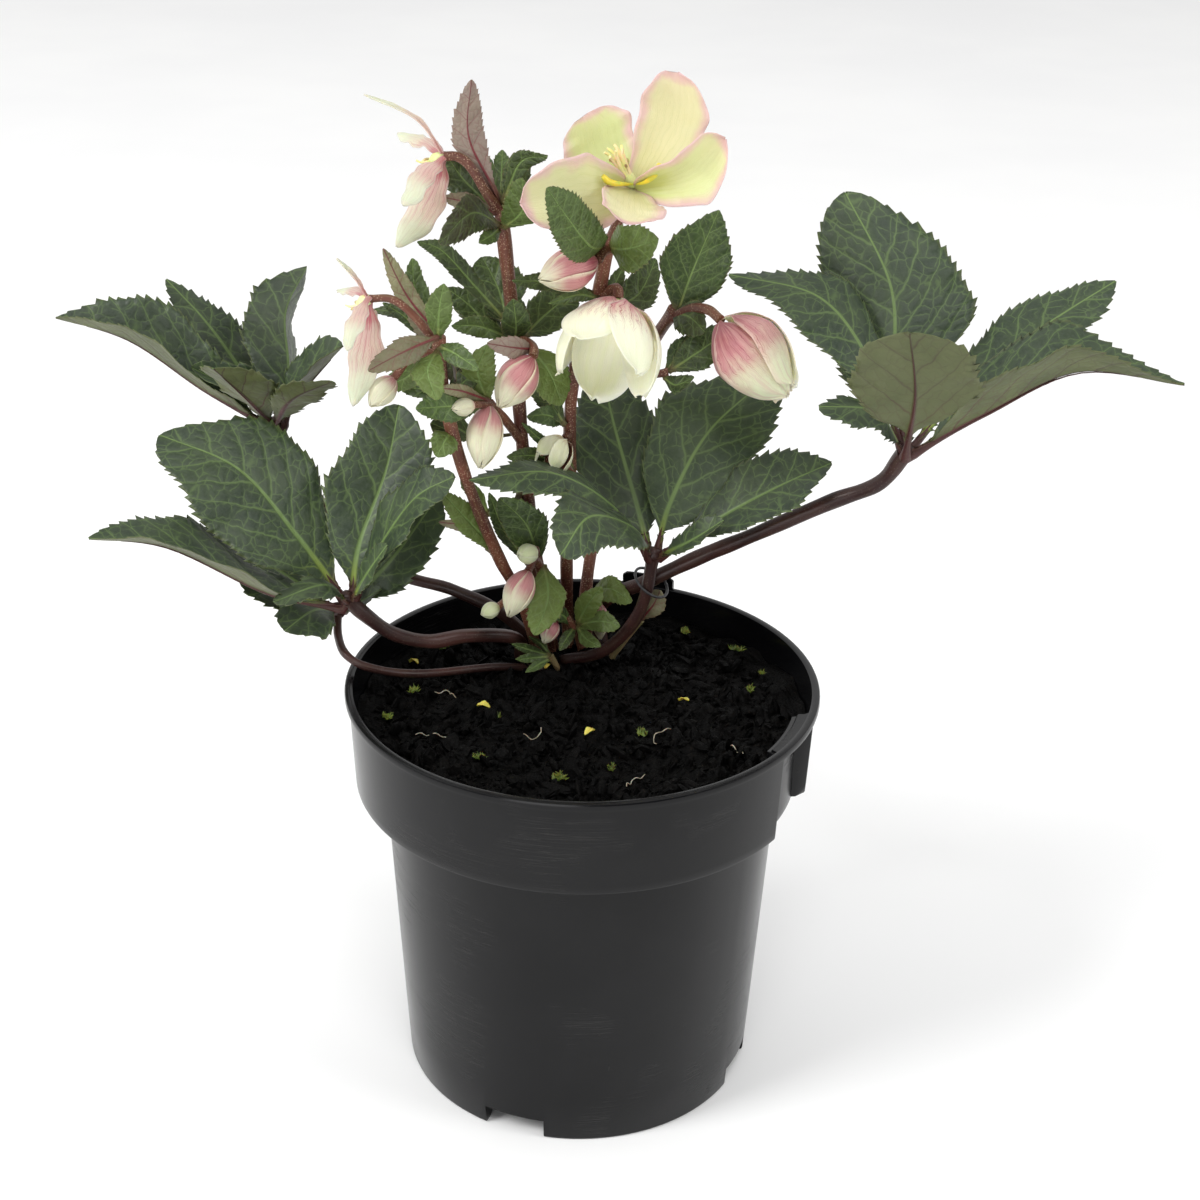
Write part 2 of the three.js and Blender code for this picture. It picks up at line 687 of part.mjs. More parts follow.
function tallStem() {
  const main = stemPaths.tall;
  const toSideBloom = {
    path: [[-34, 22, 365], [-39, 18, 374], [-45, 18, 384], [-50, 20, 387], [-55, 20, 387]],
    radius: 1.8,
  };
  const toLeftBud = { path: [[-27, 33, 269], [-33, 20, 283], [-38, 8, 294]], radius: 1.8 };
  const toSmallBud = { path: [[-37, 9, 293], [-41, 1, 296], [-43, -5, 298]], radius: 1.3 };
  const toMiddleBud = { path: [[-29, 28, 311], [-25, 18, 316], [-21, 10, 316], [-21, 6, 314]], radius: 1.8 };
  return floweringStem(
    main,
    [toSideBloom, toLeftBud, toSmallBud, toMiddleBud],
    [
      [[[-36, 20, 374], [-46, 24, 394], [-45, 28, 414]], 6, 145],
      [[[-33, 20, 370], [-26, 14, 387], [-16, 8, 391]], 3.8, 105],
      [[[-33, 22, 370], [-28, 22, 380], [-26, 24, 389]], 5, 70],
      [[[-34, 26, 369], [-34, 32, 379], [-34, 36, 386]], 3.5, 5],
      [[[-35, 24, 371], [-39, 30, 379], [-41, 34, 385]], 3, -30],
      [[[-35, 24, 365], [-48, 34, 374], [-56, 40, 383]], 7, -55],
      [[[-36, 20, 366], [-46, 22, 369], [-56, 26, 370]], 3.5, 110],
      [[[-34, 18, 362], [-44, 4, 370], [-55, -8, 362]], 6, -70],
      [[[-33, 16, 361], [-25, 8, 371], [-25, 2, 384]], 7, 140],
      [[[-34, 20, 360], [-37, 10, 360], [-41, 4, 359]], 3, -55],
      [[[-29, 22, 315], [-42, 14, 323], [-52, 8, 325]], 4, -80],
      [[[-29, 22, 313], [-30, 18, 322], [-30, 16, 331]], 4.5, -165],
      [[[-21, 12, 315], [-26, 4, 318], [-37, -2, 322]], 2.5, 100, toMiddleBud.path],
      [[[-26, 28, 314], [-16, 36, 322], [-5, 42, 329]], 7.5, 55],
      [[[-24, 20, 312], [-14, 22, 300], [-5, 16, 292]], 6, 50, toMiddleBud.path],
      [[[-32, 34, 317], [-36, 44, 328], [-43, 52, 339]], 10.5, -30],
      [[[-33, 34, 314], [-45, 42, 319], [-56, 48, 327]], 5, -55],
      [[[-29, 20, 320], [-44, 18, 338], [-56, 16, 352], [-65, 14, 356]], 3.5, -85],
      [[[-38, 8, 294], [-42, 4, 308], [-38, 2, 320]], 6.5, -175, toLeftBud.path],
      [[[-39, 6, 294], [-52, -12.5, 300], [-64, -18, 301]], 5.5, -70, toLeftBud.path],
      [[[-38, 7, 295], [-47, -7, 304], [-56, -14, 308]], 2.5, 100, toLeftBud.path],
    ],
  );
}

function middleStem() {
  const main = stemPaths.middle;
  const toOpenBloom = { path: [[7, 25, 352], [10, 26, 360], [13, 26, 369], [16, 20, 377]], radius: 2 };
  const toTopBud = { path: [[7, 25, 351], [5, 20, 352], [3, 14, 350]], radius: 1.8 };
  const toBell = { path: [[3, 29, 328], [8, 27, 334], [11, 23, 336], [11, 20, 333]], radius: 1.9 };
  const toSmallLeaf = { path: [[-1, 32, 316], [15, 35, 301], [25, 36, 297], [32, 36, 298]], radius: 1.6 };
  const toLowBud = { path: [[-7, 40, 265], [-8, 36, 270], [-9, 32, 270]], radius: 1.5 };
  return floweringStem(
    main,
    [toOpenBloom, toTopBud, toBell, toSmallLeaf, toLowBud],
    [
      [[[6, 24, 352], [0, 0, 357], [-7, -18, 371], [-14, -28, 387]], 9.5, -118],
      [[[7, 24, 352], [15, 10, 356], [25.5, 2, 362]], 8.5, 90],
      [[[7, 28, 330], [10, 32, 335], [13, 36, 341]], 3, 35],
      [[[6, 30, 325], [19, 38, 329], [26, 44, 342]], 6.5, 50],
      [[[3, 28, 332], [-14, 20, 339], [-29, 12, 342]], 3.5, -80],
      [[[4, 26, 331], [-4, 18, 335], [-15, 10, 334]], 2.5, -75],
      [[[31, 36, 298], [37, 40, 305], [44, 44, 311]], 3.5, 55, toSmallLeaf.path],
      [[[32, 36, 298], [45, 40, 306], [58, 46, 314]], 5.5, 60, toSmallLeaf.path],
      [[[30, 36, 296], [35, 32, 294], [42, 30, 298]], 3.5, 70, toSmallLeaf.path],
      [[[-9, 38, 274], [-16, 32, 280], [-24, 28, 281]], 4, -80],
      [[[-9, 38, 261], [-18, 32, 269], [-26, 28, 278]], 2, -90],
      [[[-9, 38, 256], [-21, 28, 264], [-32, 24, 265]], 3.5, -70],
    ],
  );
}

function leftStem() {
  const main = stemPaths.left;
  const toSideBloom = {
    path: [[-56, -8, 323], [-66, -10, 336], [-73, -10, 341], [-81, -10, 341]],
    radius: 1.8,
  };
  const toTopBud = { path: [[-56, -8, 320], [-66, -8, 318], [-73, -6, 309]], radius: 1.4 };
  const toLowBud = { path: [[-28, 28, 202], [-31, 20, 204], [-35, 16, 202]], radius: 1.3 };
  return floweringStem(
    main,
    [toSideBloom, toTopBud, toLowBud],
    [
      [[[-55, -6, 325], [-68, 0, 339], [-77, 4, 356]], 3.5, 125],
      [[[-55, -4, 326], [-65, 6, 338], [-67, 12, 350]], 4.5, -30],
      [[[-56, -10, 325], [-55, -14, 338], [-53, -16, 349]], 5, 155],
      [[[-57, 0, 323], [-63, 8, 325], [-69, 12, 330]], 4, 135],
      [[[-56, -12, 327], [-67, -22, 325], [-80, -30, 320]], 5, 120],
      [[[-56, -10, 323], [-49, -18, 323], [-40, -24, 319]], 4, 55],
      [[[-56, -12, 322], [-59, -22, 317], [-55, -30, 309]], 6, 0],
      [[[-56, 0, 317], [-68, 2, 307], [-78, 4, 301]], 5, -80],
      [[[-52, -4, 286], [-54, -10, 285], [-57, -14, 280]], 5.5, -35],
      [[[-34, 20, 223], [-47, 12, 242], [-57, 6, 257]], 3.5, -95],
      [[[-35, 24, 218], [-45, 26, 232], [-60, 26, 235]], 2, 115],
    ],
  );
}

function backStem() {
  const main = stemPaths.back;
  const toBud = { path: [[34, 50, 316], [41, 44, 322], [47, 36, 324], [51.5, 27, 323]], radius: 1.9 };
  const toLowBud = { path: [[0, 56, 187], [3, 51, 192], [6, 46, 190]], radius: 1.2 };
  return floweringStem(
    main,
    [toBud, toLowBud],
    [
      [[[35, 50, 317], [41.5, 56, 335], [51, 64, 356.5]], 13.3, 45],
      [[[33, 50, 318], [40, 42, 319], [46, 36, 315]], 5, 60],
      [[[1, 52, 190], [10, 39, 200], [20, 35, 196]], 4.5, 60],
    ],
  );
}

function shortStem() {
  const main = stemPaths.short;
  const toLowBud = { path: [[-19, 30, 215], [-21, 24, 220], [-23, 20, 217]], radius: 1.4 };
  const toUpperBud = { path: [[-20, 30, 217], [-20, 25, 224], [-20, 20, 225]], radius: 1.2 };
  return floweringStem(
    main,
    [toLowBud, toUpperBud],
    [
      [[[-23, 32, 213], [-34, 32, 230], [-40, 36, 244]], 3.5, -65],
      [[[-19, 30, 214], [-24, 26, 234], [-35, 24, 247]], 8, -95],
      [[[-17, 30, 215], [-16, 20, 203], [-23, 10, 192]], 6, -15],
    ],
  );
}

function lowStem() {
  const main = stemPaths.low;
  const toBud = { path: [[-4, 36, 182], [-8, 34, 189], [-12, 32, 188]], radius: 1.3 };
  return floweringStem(
    main,
    [toBud],
    [
      [[[-3, 36, 184], [1, 32, 195], [7, 30, 205]], 3.5, 105],
      [[[-3, 36, 184], [7, 30, 189], [15, 26, 189]], 3.5, 65],
      [[[-3, 35, 184], [1, 29, 181], [7, 24, 180]], 3, 45],
      [[[-4, 36, 183], [-7, 28, 182], [-10, 22, 179]], 2.5, -30],
      [[[-5, 36, 184], [-10, 30, 192], [-16, 26, 194]], 3, -85],
    ],
  );
}

function youngShoot() {
  return floweringStem(stemPaths.shoot, [], [[[[24, 42, 184], [29, 40, 192], [32, 40, 199]], 3.5, -95]]);
}

function youngLeaf() {
  return floweringStem(
    stemPaths.young,
    [],
    [
      [[[-14, 32, 171], [-23, 28, 176], [-30, 23, 181]], 2, -80],
      [[[-14, 32, 171], [-22, 26, 173], [-28, 19, 176]], 2, -65],
      [[[-14, 32, 170], [-19, 26, 170], [-24, 19, 170]], 2, -45],
      [[[-14, 32, 171], [-18, 33, 176], [-23, 30, 181]], 1.5, -95],
    ],
  );
}

// ---------------------------------------------------------------- blooms and buds

const openBloom = { from: [16, 20, 377], facing: [-0.4, -0.15, 0.9] };
const upperSideBloom = { from: [-55, 20, 387], facing: [-19, 6, -9] };
const lowerSideBloom = { from: [-81, -10, 341], facing: [-14, 9, -12] };
const bell = {
  from: [11, 20, 333],
  axis: [-0.15, -0.6, -0.78],
  length: 44,
  opens: 80,
  closes: -25,
  half: 17,
  wrap: 13,
  rows: 5,
  turn: 0,
};
const fullBud = {
  from: [51.5, 27, 323],
  axis: [22, -10, -24],
  length: 48,
  opens: 75,
  closes: -70,
  half: 12.5,
  wrap: 8,
  rows: 4,
  turn: 20,
};

function openBloomSepals() {
  return joined([
    ball(openBloom.from, bloomHub),
    sepal([[17, 20, 376], [30, 28, 398], [31.5, 26, 418.5]], 14, 65, 15, { widest: 0.58, tip: 0.42 }),
    sepal([[15, 21, 376], [4, 32, 388], [-2, 36, 400.5]], 13.8, -50, 10, { widest: 0.62, tip: 0.42 }),
    sepal([[15, 19, 376], [-4, 2, 378], [-25, -10, 377.5]], 14.3, -70, 15, { widest: 0.6, tip: 0.42 }),
    sepal([[17, 19, 376], [37, 8, 384.5], [49, 6, 399]], 9.5, 100, 15, { widest: 0.6, tip: 0.42 }),
    sepal([[16, 18, 376], [12, -2, 376], [9, -12, 372]], 9.5, -25, 15, { widest: 0.62, tip: 0.42 }),
  ]);
}

function upperSideSepals() {
  return joined([
    ball(upperSideBloom.from, bloomHub),
    sepal([[-55, 20, 387], [-65, 24, 400], [-85, 28, 408]], 1.5, -10, 15, { widest: 0.6 }),
    sepal([[-55, 20, 387], [-60, 20, 370], [-73, 16, 353]], 6, 105, 10, { widest: 0.55 }),
    sepal([[-55, 18, 387], [-61, 4, 384], [-68, -6, 375]], 4.5, 155, 15, { widest: 0.55 }),
    sepal([[-55, 22, 386], [-63, 38, 373], [-70, 48, 363]], 5.5, 50, 15, { widest: 0.55 }),
    sepal([[-55, 22, 387], [-64, 40, 388], [-75, 50, 388]], 4, 165, 15, { widest: 0.55 }),
  ]);
}

function lowerSideSepals() {
  return joined([
    ball(lowerSideBloom.from, bloomHub),
    sepal([[-82, -10, 342], [-86, -8, 348], [-93, -6, 355]], 1.5, 0, 15),
    sepal([[-81, -10, 340], [-82, -12, 322], [-88, -14, 300]], 6, 115, 15),
    sepal([[-81, -12, 342], [-84, -26, 339], [-87, -34, 329]], 3.5, 175, 15),
    sepal([[-81, -8, 340], [-86, 8, 323], [-92, 16, 306]], 5.5, 30, 15),
    sepal([[-82, -8, 341], [-89, 6, 339], [-96, 14, 336]], 2.5, 155, 15),
  ]);
}

// Foot, tip and radius of each closed bud.
const buds = [
  [[3, 14, 350], [-19, 4, 345], 7.6],
  [[-21, 6, 314], [-34, 0, 295], 7.7],
  [[-38, 6, 294], [-41, -4, 271], 7],
  [[-43, -5, 298], [-51, -13, 299], 3.4],
  [[-9, 32, 270], [-17, 24, 260], 4.8],
  [[-23, 20, 217], [-31, 10, 200], 6.1],
  [[-20, 20, 225], [-27, 12, 227], 4.1],
  [[-12, 32, 188], [-17, 26, 180], 3.8],
  [[6, 46, 190], [7, 38, 176], 3.8],
  [[-35, 16, 202], [-42, 10, 201], 3.3],
  [[-73, -6, 309], [-82, -12, 299], 4.9],
];

// ---------------------------------------------------------------- the whole plant

// Cuts away what would meet a knot or a bud, with the join gap all round.
function clearOf(solid, centres, hub) {
  return centres.reduce((rest, centre) => rest.subtract(ball(centre, hub + joinGap)), solid);
}

addPiece("pot", pot(), looks.pot);
addPiece("soil", soil([...Object.values(leafStalks), ...Object.values(stemPaths)]), looks.soil);
addPiece("tie_ring", tieRing(), looks.wire);

for (const [place, stalk] of Object.entries(leafStalks)) {
  const hub = stalk.path[stalk.path.length - 1];
  const solid = stemAlong(stalk.path, stalk.radius, 6);
  addPiece(`leaf_stalk_${place}`, clearOf(solid, [hub], leafHub + 0.6), looks.stalk);
  addPiece(`leaf_${place}`, joined([ball(hub, leafHub), ...leaves[place]]), looks.leaf);
}

const stems = {
  flower_stem_tall: tallStem(),
  flower_stem_middle: middleStem(),
  flower_stem_left: leftStem(),
  flower_stem_back: backStem(),
  flower_stem_short: shortStem(),
  flower_stem_low: lowStem(),
  young_shoot: youngShoot(),
  young_leaf: youngLeaf(),
};
const hubs = [openBloom.from, upperSideBloom.from, lowerSideBloom.from, bell.from, fullBud.from];
const grownBuds = buds.map(([from, to, radius]) => bud(from, to, radius, joinGap));
for (const [name, solid] of Object.entries(stems)) {
  const clear = clearOf(solid, hubs, bloomHub + 1.2);
  addPiece(name, clear.subtract(joined(grownBuds)), looks.stem);
}

const openRoom = middleRoom(openBloom.from, openBloom.facing);
addPiece("open_bloom_sepals", openBloomSepals().subtract(openRoom), looks.openSepal);
const openSize = { styles: 5, stamens: 0, horns: 5, height: 17, spread: 5 };
addPiece("open_bloom_middle", bloomMiddle(openBloom.from, openBloom.facing, openSize), looks.stamen);
addPiece("upper_side_bloom_sepals", upperSideSepals(), looks.pinkSepal);
addPiece("lower_side_bloom_sepals", lowerSideSepals(), looks.pinkSepal);
const sideSize = { styles: 2, stamens: 4, horns: 0, height: 11, spread: 2.4 };
const upperMiddle = bloomMiddle(upperSideBloom.from, upperSideBloom.facing, sideSize);
const lowerMiddle = bloomMiddle(lowerSideBloom.from, lowerSideBloom.facing, sideSize);
addPiece("upper_side_bloom_middle", upperMiddle, looks.stamen);
addPiece("lower_side_bloom_middle", lowerMiddle, looks.stamen);
addPiece("bell_bloom_sepals", cup(bell), looks.whiteSepal);
const bellSize = { styles: 2, stamens: 6, horns: 0, height: 19, spread: 7 };
addPiece("bell_bloom_middle", bloomMiddle(bell.from, bell.axis, bellSize), looks.stamen);
addPiece("full_bud", cup(fullBud), looks.whiteSepal);
buds.forEach(([from, to, radius], k) => addPiece(`bud_${k + 1}`, bud(from, to, radius), looks.bud));

export default plant;
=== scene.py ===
import math

import bmesh
import bpy
import numpy as np
from mathutils import Matrix, Vector, noise


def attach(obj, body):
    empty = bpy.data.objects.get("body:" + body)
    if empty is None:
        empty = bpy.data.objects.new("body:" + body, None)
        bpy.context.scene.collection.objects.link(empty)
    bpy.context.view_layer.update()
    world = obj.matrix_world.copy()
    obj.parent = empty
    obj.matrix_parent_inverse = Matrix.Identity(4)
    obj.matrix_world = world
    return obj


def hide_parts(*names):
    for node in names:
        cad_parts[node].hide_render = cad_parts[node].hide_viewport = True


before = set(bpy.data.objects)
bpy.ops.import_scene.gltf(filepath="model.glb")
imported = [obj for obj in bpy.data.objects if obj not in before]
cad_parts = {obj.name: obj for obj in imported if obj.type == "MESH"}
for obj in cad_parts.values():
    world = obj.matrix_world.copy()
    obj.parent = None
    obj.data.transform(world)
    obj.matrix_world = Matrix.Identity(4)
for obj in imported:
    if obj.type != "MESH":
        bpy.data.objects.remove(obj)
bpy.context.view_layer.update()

mm = 0.001  # every list of places below is in millimetres, and the scene is in metres
plantSeed = 21
fullTurn = 2 * math.pi
upward = np.array([0.0, 0.0, 1.0])


# node trees
class Field:
    # an output of a node: reckoning with it adds a node for each step
    def __init__(self, tree, socket):
        self.tree, self.socket = tree, socket

    def __add__(self, other):
        return calc("ADD", self, other)

    def __sub__(self, other):
        return calc("SUBTRACT", self, other)

    def __mul__(self, other):
        return calc("MULTIPLY", self, other)

    def __truediv__(self, other):
        return calc("DIVIDE", self, other)

    def __abs__(self):
        return calc("ABSOLUTE", self)


def addNode(tree, kind, inputs=None, output=0, **settings):
    made = tree.nodes.new(kind)
    for key, value in settings.items():
        setattr(made, key, value)
    for key, value in (inputs or {}).items():
        if isinstance(value, Field):
            tree.links.new(value.socket, made.inputs[key])
        else:
            made.inputs[key].default_value = value
    return Field(tree, made.outputs[output]) if made.outputs else None


def calc(operation, *values):
    tree = next(value.tree for value in values if isinstance(value, Field))
    return addNode(tree, "ShaderNodeMath", dict(enumerate(values)), operation=operation)


def ramp(value, low, high, fromLevel=0.0, toLevel=1.0):
    # smooth step from fromLevel to toLevel as value goes from low to high
    inputs = {0: value, 1: low, 2: high, 3: fromLevel, 4: toLevel}
    return addNode(value.tree, "ShaderNodeMapRange", inputs, interpolation_type="SMOOTHSTEP")


def paint(colour, *layers):
    # lays colours over the first one, each with its own share
    for share, layer in layers:
        inputs = {0: share, 6: colour, 7: layer}
        colour = addNode(share.tree, "ShaderNodeMix", inputs, 2, data_type="RGBA")
    return colour


def grain(place, scale, detail=3.0, roughness=0.55):
    inputs = {"Vector": place, "Scale": scale, "Detail": detail, "Roughness": roughness}
    return addNode(place.tree, "ShaderNodeTexNoise", inputs)


def place3(x, y, z):
    return addNode(x.tree, "ShaderNodeCombineXYZ", {0: x, 1: y, 2: z})


def parts(vector):
    first = addNode(vector.tree, "ShaderNodeSeparateXYZ", {0: vector})
    return [Field(vector.tree, socket) for socket in first.socket.node.outputs]


def scaled(vector, factor):
    return addNode(vector.tree, "ShaderNodeVectorMath", {0: vector, "Scale": factor}, operation="SCALE")


def readAttribute(tree, name):
    return addNode(tree, "ShaderNodeAttribute", None, "Fac", attribute_name=name)


def objectPlace(material):
    return addNode(material.node_tree, "ShaderNodeTexCoord", None, "Object")


def rgb(red, green, blue):
    return (red, green, blue, 1.0)


def startMaterial(name, roughness, **sockets):
    material = bpy.data.materials.new(name)
    material.use_nodes = True
    inputs = material.node_tree.nodes["Principled BSDF"].inputs
    inputs["Roughness"].default_value = roughness
    for key, value in sockets.items():
        inputs[key.replace("_", " ")].default_value = value
    return material


def dress(material, colour, height, distance=0.0003, strength=0.6, roughness=None):
    # the last links of a material: colour, bump and, where it varies, roughness
    tree = material.node_tree
    inputs = {"Height": height, "Distance": distance, "Strength": strength}
    ends = {"Base Color": colour, "Normal": addNode(tree, "ShaderNodeBump", inputs), "Roughness": roughness}
    for key, value in ends.items():
        if value:
            tree.links.new(value.socket, tree.nodes["Principled BSDF"].inputs[key])
    return material


def bladePlace(material):
    # along and across a blade in millimetres, its shares of the width and length, its number and tint
    tree = material.node_tree
    rib = parts(addNode(tree, "ShaderNodeUVMap", uv_map="ribMap"))
    share = parts(addNode(tree, "ShaderNodeUVMap", uv_map="shareMap"))
    number, tint = readAttribute(tree, "bladeNumber"), readAttribute(tree, "bladeTint")
    return rib[0] * 100.0, rib[1] * 100.0, share[0] * 2.0 - 1.0, share[1], number, tint


# leaf tissue
veinCourse = {  # side veins of a leaflet, shared by its mesh and its material
    "spacing": 14.5,
    "slope": 1.05,  # how much further along a side vein is for each mm away from the midrib
    "bend": 0.01,
    "offset": 0.4,  # share of a spacing by which left and right veins are apart
}
leafLook = {
    "dark": rgb(0.016, 0.03, 0.014),
    "light": rgb(0.032, 0.05, 0.022),
    "bloom": rgb(0.07, 0.09, 0.065),  # the greyish bloom on the skin
    "tint": rgb(0.05, 0.08, 0.028),
    "dusk": rgb(0.022, 0.03, 0.016),
    "tintShare": 0.35,
    "vein": rgb(0.13, 0.2, 0.06),
    "footVein": rgb(0.19, 0.25, 0.045),
    "foot": rgb(0.075, 0.025, 0.022),
    "rim": rgb(0.13, 0.15, 0.05),
    "footShare": 0.3,
    "roughness": 0.47,
    "gloss": 0.4,
    "veinScale": 1.0,
    "veinWidth": 0.55,
    "ribWidth": 1.35,
    "sideVeins": 0.5,
    "net": 0.36,
    "netWidth": 0.07,
    "cell": 5.0,
    "glow": 0.15,
    "edge": 0.5,
    "ribRelief": -0.5,
    "relief": 0.0002,
}


def leafMaterial(name, **changes):
    look = leafLook | changes
    material = startMaterial(name, look["roughness"], Specular_IOR_Level=look["gloss"])
    across, along, side, share, number, tint = bladePlace(material)
    scale, cell = look["veinScale"], look["cell"]
    distance, outward, number = abs(across), abs(side), number * 7.3
    flat = place3(across / 10.0, along / 10.0, number)
    wobble = grain(flat, 0.9 / scale, 3.0) - 0.5
    # side veins: lines that leave the midrib at a slant and curve towards the tip
    course = along - distance * veinCourse["slope"] - distance * distance * veinCourse["bend"]
    spacing = veinCourse["spacing"] * scale
    left = calc("LESS_THAN", across, 0.0)
    phase = course / spacing + left * veinCourse["offset"] + wobble * 0.5
    fromVein = abs(calc("FRACT", phase) - 0.5) * (spacing * 0.72)
    veinWidth = ramp(outward, 0.0, 0.9, look["veinWidth"], look["veinWidth"] * 0.45)
    sideVein = ramp(fromVein / veinWidth, 1.3, 0.3)
    ribWidth = ramp(share, 0.0, 1.0, look["ribWidth"], look["ribWidth"] * 0.25)
    midrib = ramp(distance / ribWidth, 1.3, 0.4)
    # the net between the veins, with gaps
    netPlace = place3(across / cell + wobble * 1.5, along / cell + wobble * 1.5, number)
    meshes = {"Vector": netPlace, "Scale": 1.0}
    fromNet = addNode(flat.tree, "ShaderNodeTexVoronoi", meshes, "Distance", feature="DISTANCE_TO_EDGE")
    net = ramp(fromNet, look["netWidth"], 0.0) * ramp(grain(flat, 2.3, 1.0), 0.32, 0.5)
    veins = calc("MAXIMUM", calc("MAXIMUM", sideVein * look["sideVeins"], midrib), net * look["net"])
    patch, speck = grain(flat, 0.55, 3.0), grain(flat, 9.0, 2.0)
    # a tint below nothing is an older, browner tissue
    dusk = ramp(tint, 0.0, -1.0) * ramp(patch, 0.25, 0.6, 0.5, 1.0)
    # tissue is lighter beside the veins and darkest in the middle of each mesh of the net
    halo = calc("MAXIMUM", ramp(fromNet, 0.3, 0.0) * 0.5, ramp(fromVein, 2.2 * scale, 0.0))
    halo = calc("MAXIMUM", halo, ramp(distance, 4.5 * scale, 0.0))
    footEnd = look["footShare"]
    colour = paint(
        look["dark"],
        (ramp(patch, 0.33, 0.67), look["light"]),
        (ramp(speck, 0.3, 0.75, 0.0, 0.3), look["bloom"]),
        (ramp(tint, 0.0, 1.0, 0.0, look["tintShare"]), look["tint"]),
        (dusk, look["dusk"]),
        (halo * look["glow"], look["vein"]),
        (ramp(outward, 0.93, 1.0, 0.0, look["edge"]), look["rim"]),
        (
            veins * ramp(dusk, 0.0, 1.0, 1.0, 0.35),
            paint(look["footVein"], (ramp(share, footEnd * 0.4, footEnd), look["vein"])),
        ),
        (ramp(share, 0.14, 0.05) * 0.9, look["foot"]),
    )
    # the blade swells a little between its veins
    height = ramp(fromNet, 0.0, 0.35) * 0.5 + ramp(fromVein, 0.0, 2.4) * 0.7
    height = height + speck * 0.12 + midrib * look["ribRelief"]
    rough = ramp(speck, 0.2, 0.8, look["roughness"] - 0.06, look["roughness"] + 0.1)
    return dress(material, colour, height, look["relief"], 1.0, rough)


leafTop = leafMaterial("leafTop")
leafUnder = leafMaterial(
    "leafUnder",
    dark=rgb(0.06, 0.077, 0.02), light=rgb(0.094, 0.114, 0.034), bloom=rgb(0.14, 0.15, 0.07),
    tint=rgb(0.12, 0.12, 0.06), dusk=rgb(0.1, 0.11, 0.05), vein=rgb(0.05, 0.028, 0.02),
    footVein=rgb(0.07, 0.01, 0.013), rim=rgb(0.15, 0.16, 0.07), footShare=0.6, roughness=0.52,
    sideVeins=0.75, net=0.34, glow=0.05, edge=0.3, ribRelief=0.8,
)
bractTop = leafMaterial(
    "bractTop",
    dark=rgb(0.022, 0.042, 0.012), light=rgb(0.045, 0.08, 0.02), bloom=rgb(0.075, 0.1, 0.038),
    tint=rgb(0.15, 0.2, 0.04), tintShare=0.6, dusk=rgb(0.026, 0.017, 0.011), gloss=0.32,
    vein=rgb(0.16, 0.24, 0.07), footVein=rgb(0.2, 0.24, 0.07), foot=rgb(0.1, 0.08, 0.03),
    rim=rgb(0.16, 0.12, 0.05), roughness=0.42, veinScale=0.55, veinWidth=0.3, ribWidth=0.6, cell=2.6,
    net=0.35, relief=0.0003,
)
bractUnder = leafMaterial(
    "bractUnder",
    dark=rgb(0.13, 0.135, 0.06), light=rgb(0.25, 0.25, 0.12), bloom=rgb(0.3, 0.28, 0.2),
    tint=rgb(0.26, 0.18, 0.18), tintShare=0.6, dusk=rgb(0.07, 0.045, 0.04), vein=rgb(0.15, 0.045, 0.045),
    footVein=rgb(0.15, 0.02, 0.025), foot=rgb(0.13, 0.05, 0.035), rim=rgb(0.2, 0.1, 0.07), footShare=0.8,
    roughness=0.5, veinScale=0.55, veinWidth=0.26, ribWidth=0.5, cell=2.6, net=0.3, glow=0.14, edge=0.4,
    ribRelief=0.5, relief=0.00025,
)
youngTop = leafMaterial(
    "youngTop",
    dark=rgb(0.06, 0.095, 0.02), light=rgb(0.13, 0.18, 0.045), bloom=rgb(0.17, 0.2, 0.09),
    tint=rgb(0.2, 0.2, 0.08), vein=rgb(0.22, 0.26, 0.09), footVein=rgb(0.2, 0.16, 0.07),
    foot=rgb(0.2, 0.12, 0.06), rim=rgb(0.2, 0.1, 0.07), veinScale=0.5, veinWidth=0.22, ribWidth=0.5,
    cell=2.2, edge=0.7, relief=0.00025,
)

# sepals and buds
sepalLook = {
    "foot": rgb(0.42, 0.5, 0.12),
    "body": rgb(0.55, 0.6, 0.27),
    "tip": rgb(0.63, 0.6, 0.33),
    "streak": rgb(0.5, 0.58, 0.23),
    "tint": rgb(0.76, 0.65, 0.44),
    "tintShare": 0.85,
    "tipShift": 0.0,  # how much further down the tip colour comes on a blade of tint 1
    "rim": rgb(0.66, 0.38, 0.4),
    "vein": rgb(0.45, 0.5, 0.18),
    "footEnd": 0.4,
    "tipStart": 0.6,
    "tipEnd": 1.0,
    "streaks": 0.45,
    "rimStart": 0.6,
    "rimStrength": 0.9,
    "veinCount": 5.0,
    "veinWidth": 0.12,
    "veinEnd": 0.95,
    "veinStrength": 0.22,
    "softness": 0.3,
    "depth": 0.004,
}


